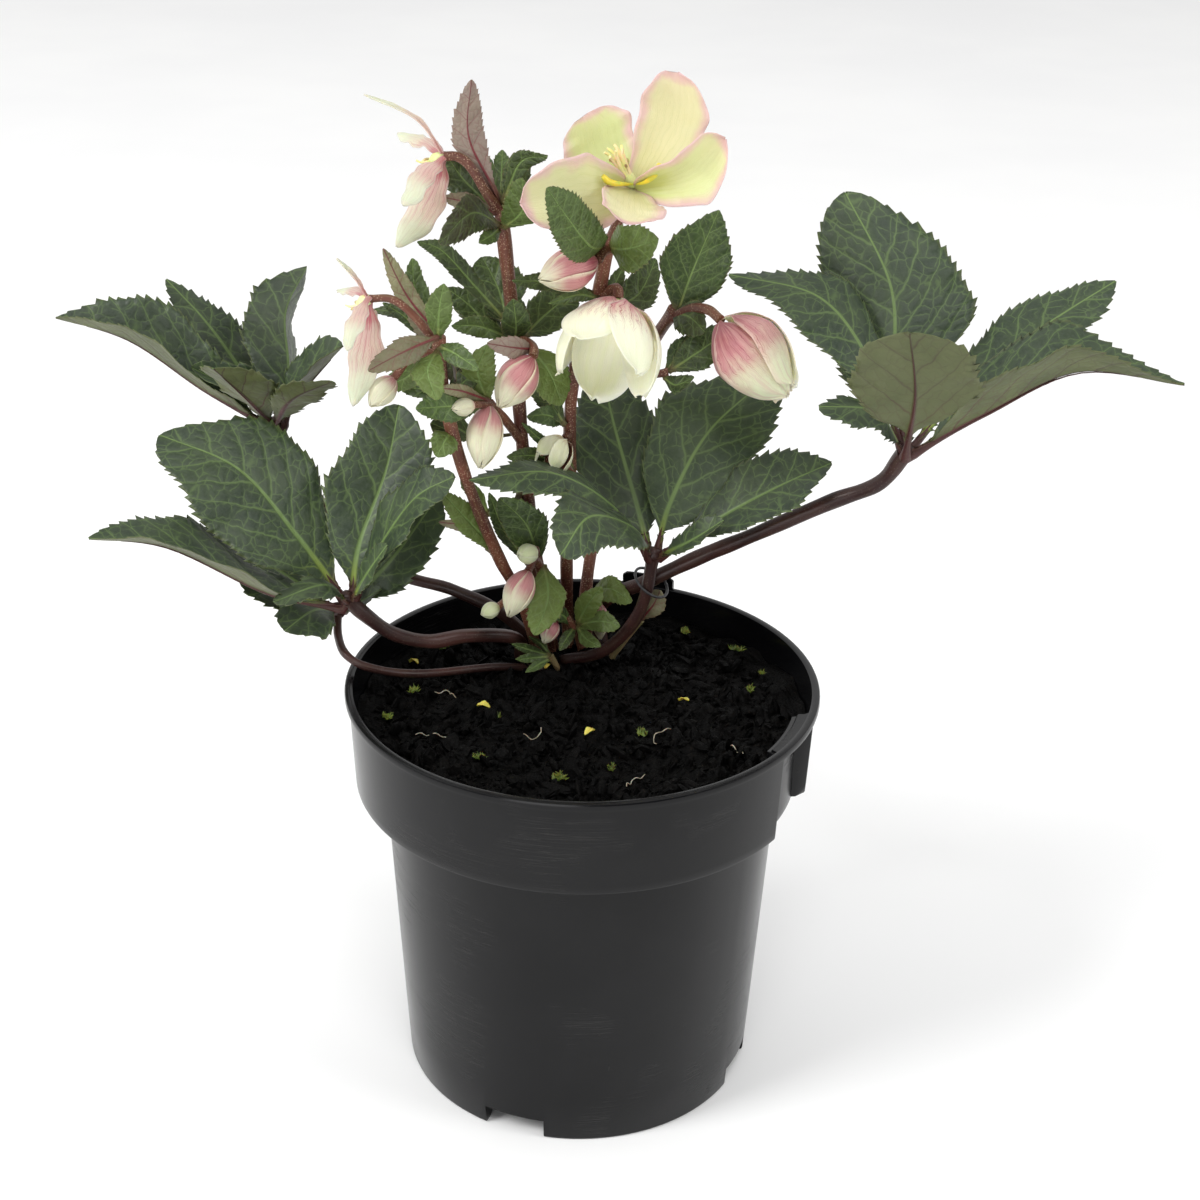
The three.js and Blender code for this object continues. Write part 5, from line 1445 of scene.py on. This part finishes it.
bracts = {
    "tall": [
        bract([[-36, 20, 374], [-46, 24, 394], [-45, 28, 414]], 6, 145, tint=1.0),
        bract([[-33, 20, 370], [-26, 14, 387], [-16, 8, 391]], 3.8, 105),
        bract([[-33, 22, 370], [-28, 22, 380], [-26, 24, 389]], 5, 70),
        bract([[-34, 26, 369], [-34, 32, 379], [-34, 36, 386]], 3.5, 5),
        bract([[-35, 24, 371], [-39, 30, 379], [-41, 34, 385]], 3, -30),
        bract([[-35, 24, 365], [-48, 34, 374], [-56, 40, 383]], 7, -55, tint=-0.35),
        bract([[-36, 20, 366], [-46, 22, 369], [-56, 26, 370]], 3.5, 110),
        bract([[-34, 18, 362], [-44, 4, 370], [-55, -8, 362]], 7, -70, tint=-0.75),
        bract([[-33, 16, 361], [-25, 8, 371], [-25, 2, 384]], 7, 140, tint=0.5),
        bract([[-34, 20, 360], [-37, 10, 360], [-41, 4, 359]], 3, -55),
        bract([[-29, 22, 315], [-42, 14, 323], [-52, 8, 325]], 4, -80),
        bract([[-29, 22, 313], [-28, 17, 323], [-29, 14, 334]], 6, -165, tint=-0.3),
        bract([[-21, 12, 315], [-27, 4, 318], [-38, -3, 322]], 4, 100, "toMiddleBud", tint=0.9),
        bract([[-26, 28, 314], [-16, 36, 322], [-5, 42, 329]], 8.5, 55, tint=-0.3),
        bract([[-23, 18, 314], [-15, 20, 302], [-10, 15, 291]], 8, 50, "toMiddleBud", tint=0.8),
        bract([[-32, 34, 317], [-36, 44, 328], [-43, 52, 339]], 11, -30, tint=-0.3),
        bract([[-33, 34, 314], [-45, 42, 319], [-56, 48, 327]], 5.5, -55, tint=-0.4),
        bract([[-29, 20, 320], [-44, 18, 338], [-56, 16, 352], [-65, 14, 356]], 3.8, -85, tint=-0.4),
        bract([[-38, 8, 294], [-42, 4, 308], [-38, 2, 320]], 6.5, -175, "toLeftBud", tint=0.9),
        bract([[-39, 6, 294], [-52, -12.5, 300], [-64, -18, 301]], 5.8, -70, "toLeftBud", tint=0.15),
        bract([[-38, 7, 295], [-47, -7, 304], [-56, -14, 308]], 2.5, 100, "toLeftBud"),
        bract([[-38, 30, 316], [-47, 33, 325], [-56, 36, 331]], 4.8, -60, tint=-0.3),
        bract([[-27, 30, 314], [-28, 33, 323], [-29, 36, 329]], 3.2, -10, tint=0.0),
        bract([[-45, 30, 270], [-53, 27, 276], [-62, 24, 278]], 5.5, -60, tint=-0.5),
        bract([[-30, 36, 231], [-27, 33, 243], [-25, 30, 252]], 5, 20, tint=-0.4),
        bract([[-40, 36, 234], [-46, 39, 242], [-52, 42, 247]], 3, -40, tint=0.9),
    ],
    "middle": [
        bract([[6, 24, 352], [0, 1, 359.5], [-8, -17, 375], [-15, -28, 388.5]], 8.8, -119, tint=0.35),
        bract([[7, 24, 352], [15, 10, 356], [25.5, 2, 362]], 9, 90, tint=0.6),
        bract([[7, 28, 330], [10, 32, 335], [13, 36, 341]], 3, 35),
        bract([[6, 30, 325], [19, 38, 329], [26, 44, 342]], 7, 50, tint=-0.4),
        bract([[3, 28, 332], [-14, 20, 339], [-29, 12, 342]], 3.5, -80),
        bract([[4, 26, 331], [-4, 18, 335], [-15, 10, 334]], 2.5, -75),
        bract([[31, 36, 298], [37, 40, 305], [44, 44, 311]], 5, 55, "toSmallLeaf", tint=-0.2),
        bract([[32, 36, 298], [45, 40, 306], [58, 46, 314]], 7.2, 60, "toSmallLeaf", tint=-0.3),
        bract([[30, 36, 296], [35, 32, 294], [42, 30, 298]], 3.5, 70, "toSmallLeaf"),
        bract([[-9, 38, 274], [-16, 32, 280], [-24, 28, 281]], 4, -80),
        bract([[-9, 38, 261], [-18, 32, 269], [-26, 28, 278]], 2, -90),
        bract([[-9, 38, 256], [-21, 28, 264], [-32, 24, 265]], 3.5, -70),
        bract([[-9, 34, 275], [-16, 37, 285], [-24, 40, 290]], 5, -40, tint=-0.4),
        bract([[-5, 34, 256], [-9, 32, 264], [-12, 30, 270]], 4, -30, tint=-0.2),
    ],
    "left": [
        bract([[-55, -6, 325], [-68, 0, 339], [-77, 4, 356]], 3.8, 125, tint=0.0),
        bract([[-55, -4, 326], [-65, 6, 338], [-67, 12, 350]], 4.5, -30),
        bract([[-56, -10, 325], [-55, -14, 338], [-53, -16, 349]], 5, 155),
        bract([[-57, 0, 323], [-63, 8, 325], [-69, 12, 330]], 4, 135),
        bract([[-56, -12, 327], [-67, -22, 325], [-80, -30, 320]], 5, 120),
        bract([[-56, -10, 323], [-49, -18, 323], [-40, -24, 319]], 4, 55),
        bract([[-56, -12, 322], [-59, -22, 317], [-55, -30, 309]], 6, 0, tint=0.8),
        bract([[-56, 0, 317], [-68, 2, 307], [-78, 4, 301]], 5, -80),
        bract([[-52, -4, 286], [-54, -10, 285], [-57, -14, 280]], 5.5, -35),
        bract([[-34, 20, 223], [-47, 12, 242], [-57, 6, 257]], 5, -95, tint=0.9),
        bract([[-35, 24, 218], [-45, 26, 232], [-60, 26, 235]], 3.5, 115),
        bract([[-61, 6, 319], [-70, 11, 327], [-79, 16, 331]], 2.4, -60, tint=-0.2),
        bract([[-57, 2, 322], [-63, 5, 329], [-69, 8, 334]], 4.2, -150, tint=0.2),
        bract([[-55, 4, 296], [-63, 5, 300], [-72, 6, 300]], 3.5, -70, tint=-0.2),
        bract([[-49, 14, 296], [-52, 16, 303], [-55, 18, 308]], 3.5, -30, tint=-0.8),
        bract([[-61, 10, 322], [-72, 16, 327], [-84, 22, 326]], 2.6, -60, tint=-0.3),
        bract([[-55, -6, 320], [-51, -5, 314], [-50, -5, 307]], 4.5, 0, tint=-0.8),
        bract([[-50, 2, 282], [-54, 1, 285], [-60, -2, 289]], 6, -60, tint=-0.5),
        bract([[-54, -4, 298], [-48, 2, 304], [-42, 8, 307]], 4.5, 60, tint=-0.5),
    ],
    "back": [
        bract([[35, 50, 317], [41.5, 56, 335], [51, 64, 356.5]], 13.3, 45, tint=0.0, tip=0.8),
        bract([[33, 50, 318], [40, 42, 319], [46, 36, 315]], 7, 60, tint=-0.5),
        bract([[1, 52, 190], [10, 39, 200], [20, 35, 196]], 5.5, 60, tint=1.0),
    ],
    "short": [
        bract([[-23, 32, 213], [-34, 32, 230], [-40, 36, 244]], 3.5, -65),
        bract([[-19, 30, 214], [-24, 26, 234], [-35, 24, 247]], 8.5, -95, tint=-0.2),
        bract([[-17, 30, 215], [-15, 20, 204], [-20, 10, 192]], 7.5, -15, tint=1.0),
    ],
    "low": [
        bract([[-3, 36, 184], [1, 32, 195], [7, 30, 205]], 5, 105, tint=1.0),
        bract([[-3, 36, 184], [7, 30, 189], [15, 26, 189]], 4.5, 65, tint=0.6),
        bract([[-3, 35, 184], [1, 29, 181], [7, 24, 180]], 3, 45),
        bract([[-4, 36, 183], [-7, 28, 182], [-10, 22, 179]], 2.5, -30),
        bract([[-5, 36, 184], [-10, 30, 192], [-16, 26, 194]], 3, -85),
    ],
    "shoot": [
        bract([[24, 42, 184], [29, 40, 192], [32, 40, 199]], 5, -95),
    ],
    "young": [
        bract([[-14, 32, 171], [-23, 28, 176], [-30, 23, 181]], 2, -80),
        bract([[-14, 32, 171], [-22, 26, 173], [-28, 19, 176]], 2, -65),
        bract([[-14, 32, 170], [-19, 26, 170], [-24, 19, 170]], 2, -45),
        bract([[-14, 32, 171], [-18, 33, 176], [-23, 30, 181]], 1.5, -95),
    ],
}
youngNodes = {"shoot": "young_shoot", "young": "young_leaf"}


def addFlowerStem(place, seed):
    draw = np.random.default_rng(seed)
    path, radius = stemPaths[place]
    young = place in youngNodes
    node = youngNodes.get(place, "flower_stem_" + place)
    lines, paths = [smoothLine(path, radius, 0.1, 0.12)], {None: evenly(path, 160)}
    for branch, (points, thin) in branches.get(place, {}).items():
        lines.append(smoothLine(points, thin, 0.2, 0.1, 1.6))
        paths[branch] = evenly(points, 60)
    addStems(plainName(node), lines, youngSkin if young else flowerStemSkin, node)
    made = PieceMesh(youngTop if place == "shoot" else bractTop, bractUnder)
    for blade in bracts[place]:
        near = paths[blade["branch"]]
        gap = np.linalg.norm(near - np.array(blade["rib"][0]), axis=1)
        addBlade(made, blade, bractStyle, draw, near[gap.argmin()] if gap.min() > 1.2 else None)
    made.finish(plainName(node) + "Bracts", node)


for seed, place in enumerate(stemPaths, plantSeed + 40):
    addFlowerStem(place, seed)
print("flower stems ready")


# flowers
openBloomSepals = [
    sepal(
        [[17, 20, 376], [30, 28, 398], [31.5, 26, 418.5]],
        13.6, 65, 15, widest=0.58, tip=0.42, foot=0.6, tint=0.65
    ),
    sepal(
        [[15, 21, 376], [4, 32, 388], [-2, 36, 400.5]],
        14.8, -50, 10, widest=0.62, tip=0.42, foot=0.6, tint=0.0
    ),
    sepal(
        [[15, 19, 376], [-4, 2, 378.5], [-25, -10, 378]],
        14.2, -70, 15, widest=0.55, tip=0.42, foot=0.55, tint=0.4
    ),
    sepal(
        [[17, 19, 376], [37, 8, 384.5], [49, 6, 399]], 12, 100, 30, widest=0.6, tip=0.42, foot=0.5, tint=0.2
    ),
    sepal(
        [[16, 18, 376], [15, 0, 374.5], [13, -10, 371.5]],
        12.5, -18, 12, widest=0.5, tip=0.42, foot=0.5, tint=0.7
    ),
]
upperSideSepals = [
    sepal([[-55, 20, 387], [-65, 24, 400], [-85, 28, 408]], 1.5, -10, 15, widest=0.6),
    sepal([[-55, 20, 387], [-60, 20, 370], [-73, 16, 353]], 6, 105, 10, widest=0.55),
    sepal([[-55, 18, 387], [-61, 4, 384], [-68, -6, 375]], 4.5, 155, 15, widest=0.55),
    sepal([[-55, 22, 386], [-63, 38, 373], [-70, 48, 363]], 5.5, 50, 15, widest=0.55),
    sepal([[-55, 22, 387], [-64, 40, 388], [-75, 50, 388]], 4, 165, 15, widest=0.55),
]
lowerSideSepals = [
    sepal([[-82, -10, 342], [-86, -8, 348], [-93, -6, 355]], 1.5, 0, 15),
    sepal([[-81, -10, 340], [-82, -12, 322], [-88, -14, 300]], 6, 115, 15),
    sepal([[-81, -12, 342], [-84, -26, 339], [-87, -34, 329]], 3.5, 175, 15),
    sepal([[-81, -8, 340], [-86, 8, 323], [-92, 16, 306]], 5.5, 30, 15),
    sepal([[-82, -8, 341], [-89, 6, 339], [-96, 14, 336]], 2.5, 155, 15),
]
bell = {
    "base": (11, 20, 333),
    "axis": (-0.15, -0.6, -0.78),
    "length": 43,
    "opens": 74,
    "closes": -25,
    "half": 15.5,
    "wrap": 13,
    "turn": 33,
    "sizes": (0.95, 0.76, 0.95, 1.05, 1.0),  # how long each sepal is
    "curls": (0.6, 2.4, -0.4, 0.4, 0.4),  # how far the end of each rolls outwards
    "taper": 0.0,
    "frill": 0.8,
}
fullBud = {
    "base": (51.5, 27, 323),
    "axis": (24, -10, -23),
    "length": 49,
    "opens": 69,
    "closes": -62,
    "half": 12.5,
    "wrap": 8,
    "turn": 20,
    "sizes": (1.0, 0.96, 1.02, 0.98, 1.03),
    "curls": (0.3, 0.5, 0.2, 0.8, 1.2),
    "taper": 0.36,
    "frill": 0.7,
}
smallBloom = {
    "base": (-9, 32, 270),
    "axis": (-8, -8, -10),
    "length": 17,
    "opens": 62,
    "closes": -28,
    "half": 5.2,
    "wrap": 4,
    "turn": 20,
    "sizes": (1.0, 0.85, 1.1, 0.95, 1.05),
    "curls": (0.8, 1.4, 0.5, 0.3, 0.9),
    "taper": 0.1,
    "frill": 0.45,
}
buds = [  # foot, tip, radius and how far the pale tip comes down; the fifth has begun to open
    [[3, 14, 350], [-19, 4, 345], 7.9, 0.05],
    [[-21, 6, 314], [-34, 0, 295], 7.7, 0.4],
    [[-38, 6, 294], [-41, -4, 271], 7, 0.85],
    [[-43, -5, 298], [-51, -13, 299], 3.4, 1.3],
    smallBloom,
    [[-23, 20, 217], [-31, 10, 200], 6.1, 0.55],
    [[-20, 20, 225], [-27, 12, 227], 4.1, 0.8],
    [[-12, 32, 188], [-17, 26, 180], 3.8, 0.2],
    [[6, 46, 190], [7, 38, 176], 3.8, 0.6],
    [[-35, 16, 202], [-42, 10, 201], 3.3, 0.8],
    [[-73, -6, 309], [-82, -12, 299], 4.9, 1.2],
]
paleBuds = (5, 7, 10)


def addSkin(piece, outer, thickness, across, along, side, share, innerSlot=0, tint=0.0):
    # one rolled sepal, given by its outer side
    thickness = thickness * (1 - 0.5 * np.abs(side) ** 3)
    piece.addSheet(outer, thickness, (across / 100, along / 100), ((side + 1) / 2, share), innerSlot, tint)


def addCup(piece, cup, draw):
    # five sepals that grow from one base and lap over each other
    base, along, frill = np.array(cup["base"], float), unit(cup["axis"]), cup["frill"]
    side, other = squareTo(along)
    t = np.linspace(0, 1, 37)[:, None]
    s = np.array([0.14, 0.28, 0.42, 0.56, 0.7, 0.82, 0.93, 1])
    s = np.concatenate([-s[::-1], [0], s])
    start, sweep = math.radians(cup["opens"]), math.radians(cup["closes"] - cup["opens"])
    for k, (size, roll) in enumerate(zip(cup["sizes"], cup["curls"])):
        phase = draw.uniform(0, 6.28, 3)
        angle = start + sweep * t * size
        height = cup["length"] * (math.sin(start) - np.sin(angle)) / -sweep
        radius = 1.6 + cup["length"] * (np.cos(angle) - math.cos(start)) / -sweep
        radius = radius * (1 - cup["taper"] * np.clip((t - 0.4) / 0.6, 0, 1))
        radius = radius + roll * np.clip((t - 0.82) / 0.18, 0, 1) ** 2
        reach = cup["half"] * np.maximum(outlineShare(t, 0.55, 0.5), 0.15) * s
        spread = math.radians(72 * k + cup["turn"]) + reach / np.maximum(radius, cup["wrap"])
        lapped = np.maximum(radius + 1.3 * s, 0.8)
        edge = np.maximum(np.abs(s), np.clip((t - 0.7) / 0.3, 0, 1))
        curl = frill * edge**3 * np.sin(4.2 * s + phase[0] + 3 * t) + 0.4 * np.sin(7 * t + 5 * s + phase[1])
        lapped = lapped + curl * np.clip(3 * t, 0, 1)
        height = height + 0.6 * frill * np.sin(6 * s + phase[2]) * np.clip((t - 0.75) / 0.25, 0, 1)
        outer = base + along * (height + 0 * s)[..., None] + side * (lapped * np.cos(spread))[..., None]
        outer = outer + other * (lapped * np.sin(spread))[..., None]
        addSkin(piece, outer, 0.55, reach, t * cup["length"] + 0 * s, s + 0 * t, t + 0 * s, 1)


def addBud(piece, foot, tip, radius, pale, draw):
    # five sepals rolled around the axis, each with one edge outside the next
    foot, tip = np.array(foot, float), np.array(tip, float)
    along, length = unit(tip - foot), np.linalg.norm(tip - foot)
    side, other = squareTo(along)
    t = np.linspace(0, 1, 25)[:, None]
    s = np.array([-1, -0.85, -0.62, -0.38, -0.13, 0.13, 0.38, 0.62, 0.85, 1])
    body = np.sin(np.pi * np.clip(t, 0.01, 0.985) ** 0.9) ** 0.66
    body = np.maximum(body, 0.1 * np.clip(t - 0.5, 0, 1) * 2)
    half = np.radians(50) * (0.75 + 0.35 * np.sin(np.pi * t))
    half = half * np.where(t > 0.7, 1 - 0.35 * (t - 0.7) / 0.3, 1)
    for k in range(5):
        phase = draw.uniform(0, 6.28, 3)
        spread = math.radians(72 * k + 15) + half * s + 0.25 * t
        lapped = radius * body * (1 + 0.055 * s) + 0.12 * np.sin(5 * s + phase[0]) * np.clip(4 * t - 3, 0, 1)
        frill = 0.012 * length * np.sin(4 * s + phase[1]) * np.clip((t - 0.8) / 0.2, 0, 1)
        height = 0.98 * length * t + frill
        outer = foot + along * height[..., None] + side * (lapped * np.cos(spread))[..., None]
        outer = outer + other * (lapped * np.sin(spread))[..., None]
        addSkin(piece, outer, 0.4, half * s * radius, height, s + 0 * t, t + 0 * s, 0, pale)
    piece.addLump(foot + along * 0.5, (1.7, 1.7, 1.2), 1, along)


def addSepals(node, sepals, hub, style, materials, seed):
    draw = np.random.default_rng(seed)
    made = PieceMesh(*materials)
    for blade in sepals:
        addBlade(made, blade, style, draw, root=hub)
    made.finish(plainName(node), node)


flowerSeed = 61
greenCream, pinks = (openSepal, openUnder), (sideSepal, sideSepal)
for seed, (node, sepals, hub, slot, style, materials) in enumerate((
    ("open_bloom_sepals", openBloomSepals, (16, 20, 377), "sepal_green_cream", sepalStyle, greenCream),
    ("upper_side_bloom_sepals", upperSideSepals, (-55, 20, 387), "sepal_pink", sideSepalStyle, pinks),
    ("lower_side_bloom_sepals", lowerSideSepals, (-81, -10, 341), "sepal_pink", sideSepalStyle, pinks),
), flowerSeed):
    addSepals(node, sepals, hub, style, materials, seed)
for seed, (node, cup, skin) in enumerate((
    ("bell_bloom_sepals", bell, creamSepal),
    ("full_bud", fullBud, pinkSepal),
), flowerSeed + 3):
    made = PieceMesh(skin, creamInside)
    addCup(made, cup, np.random.default_rng(seed))
    made.finish(plainName(node), node)
for number, bud in enumerate(buds, 1):
    made = PieceMesh(paleSepal if number in paleBuds else budSkin, flowerStemSkin)
    draw = np.random.default_rng(flowerSeed + 9 + number)
    if bud is smallBloom:
        addCup(made, bud, draw)
    else:
        addBud(made, *bud, draw)
    made.finish("bud" + str(number), "bud_" + str(number))
print("sepals and buds ready")


# bloom middles
middles = {
    "open_bloom": {
        "base": (16, 20, 377), "facing": (-0.45, -0.2, 0.87), "styles": 7, "stamens": 3, "horns": 0,
        "height": 18, "spread": 4, "thick": 1.4,
        "nectaries": [
            [[16, 18, 378.5], [11.5, 12, 380], [7, 9, 381.5], [4.5, 8, 384]],
            [[17, 18, 378.5], [20.5, 14, 380.5], [24, 12, 384], [25.5, 12, 388]],
        ],
    },
    "upper_side_bloom": {
        "base": (-55, 20, 387), "facing": (-19, 6, -9), "styles": 3, "stamens": 7, "horns": 0, "height": 11,
        "spread": 2.4,
    },
    "lower_side_bloom": {
        "base": (-81, -10, 341), "facing": (-14, 9, -12), "styles": 3, "stamens": 7, "horns": 0, "height": 11,
        "spread": 2.4,
    },
    "bell_bloom": {
        "base": (11, 20, 333), "facing": (-0.15, -0.6, -0.78), "styles": 3, "stamens": 24, "horns": 8,
        "height": 13, "spread": 6,
    },
}
hornRadii = np.array([0.5, 0.55, 0.65, 0.8, 0.95, 1.05, 1.1, 1.1, 1.05, 0.85])
nectaryRadii = np.array([0.5, 0.55, 0.6, 0.7, 0.8, 0.95, 1.05, 1.15, 1.2, 1.25, 1.25, 1.2, 1.1, 0.8])


def addMiddle(place, look, seed):
    draw = np.random.default_rng(seed)
    base, along = np.array(look["base"], float), unit(look["facing"])
    side, other = squareTo(along)

    def at(turn, out, height):
        return base + along * height + side * out * math.cos(turn) + other * out * math.sin(turn)

    knots = PieceMesh(hubSkin, antherSkin)
    knots.addLump(base + along * 3.0, (2.6, 2.6, 3.4), 0, along)
    styles, stamens, horns = [], [], []
    for k in range(look["styles"]):
        turn = fullTurn * k / look["styles"] + 0.3
        height = look["height"] * draw.uniform(0.9, 1.0)
        points = [at(turn, 0.8, 3), at(turn, 1.4, 0.55 * height)]
        points += [at(turn + 0.2, 2.4, 0.85 * height), at(turn + 0.5, 3.6, height)]
        styles.append((evenly(points, 14), np.linspace(0.72, 0.34, 14) * look.get("thick", 1.0)))
    for k in range(look["stamens"]):
        turn = fullTurn * k / look["stamens"] + draw.uniform(-0.2, 0.2)
        reach = look["spread"] * draw.uniform(0.6, 1.0)
        height = look["height"] * draw.uniform(0.5, 0.75)
        line = evenly([at(turn, 1.6, 3), at(turn, 0.6 * reach, 0.6 * height), at(turn, reach, height)], 10)
        stamens.append((line, np.linspace(0.28, 0.2, 10)))
        knots.addLump(line[-1], (0.55, 0.45, 0.9), 1, unit(line[-1] - line[-2]))
    for k in range(look["horns"]):
        turn, out = fullTurn * k / look["horns"] + 0.5, draw.uniform(4.0, 4.8)
        line = evenly([at(turn, 1.6, 3.6), at(turn, 0.7 * out, 4.2), at(turn, out, 6.2)], 10)
        horns.append((line, hornRadii))
    horns += [(evenly(points, 14), nectaryRadii) for points in look.get("nectaries", ())]
    node = place + "_middle"
    groups = ((styles, styleSkin, "Styles"), (stamens, antherSkin, "Stamens"), (horns, hornSkin, "Nectaries"))
    for lines, skin, ending in groups:
        if lines:
            addStems(plainName(node) + ending, lines, skin, node, 9)
    knots.finish(plainName(node), node)


for seed, (place, look) in enumerate(middles.items(), plantSeed + 90):
    addMiddle(place, look, seed)
print("bloom middles ready")

# tie ring
tie = {"centre": (27.7, 32.1, 206.5), "facing": (0.55, -0.23, 0.8), "radius": 8.0, "wire": 0.6}


def addTieRing():
    facing = unit(tie["facing"])
    side, other = squareTo(facing)
    turns = np.linspace(0, fullTurn * 1.04, 74)[:, None]
    lift = np.linspace(-tie["wire"], tie["wire"], 74)[:, None]
    around = tie["radius"] * (side * np.cos(turns) + other * np.sin(turns))
    line = np.array(tie["centre"], float) + around + facing * lift
    addStems("tieRing", [(line, tie["wire"])], tieWire, "tie_ring", 10)


addTieRing()
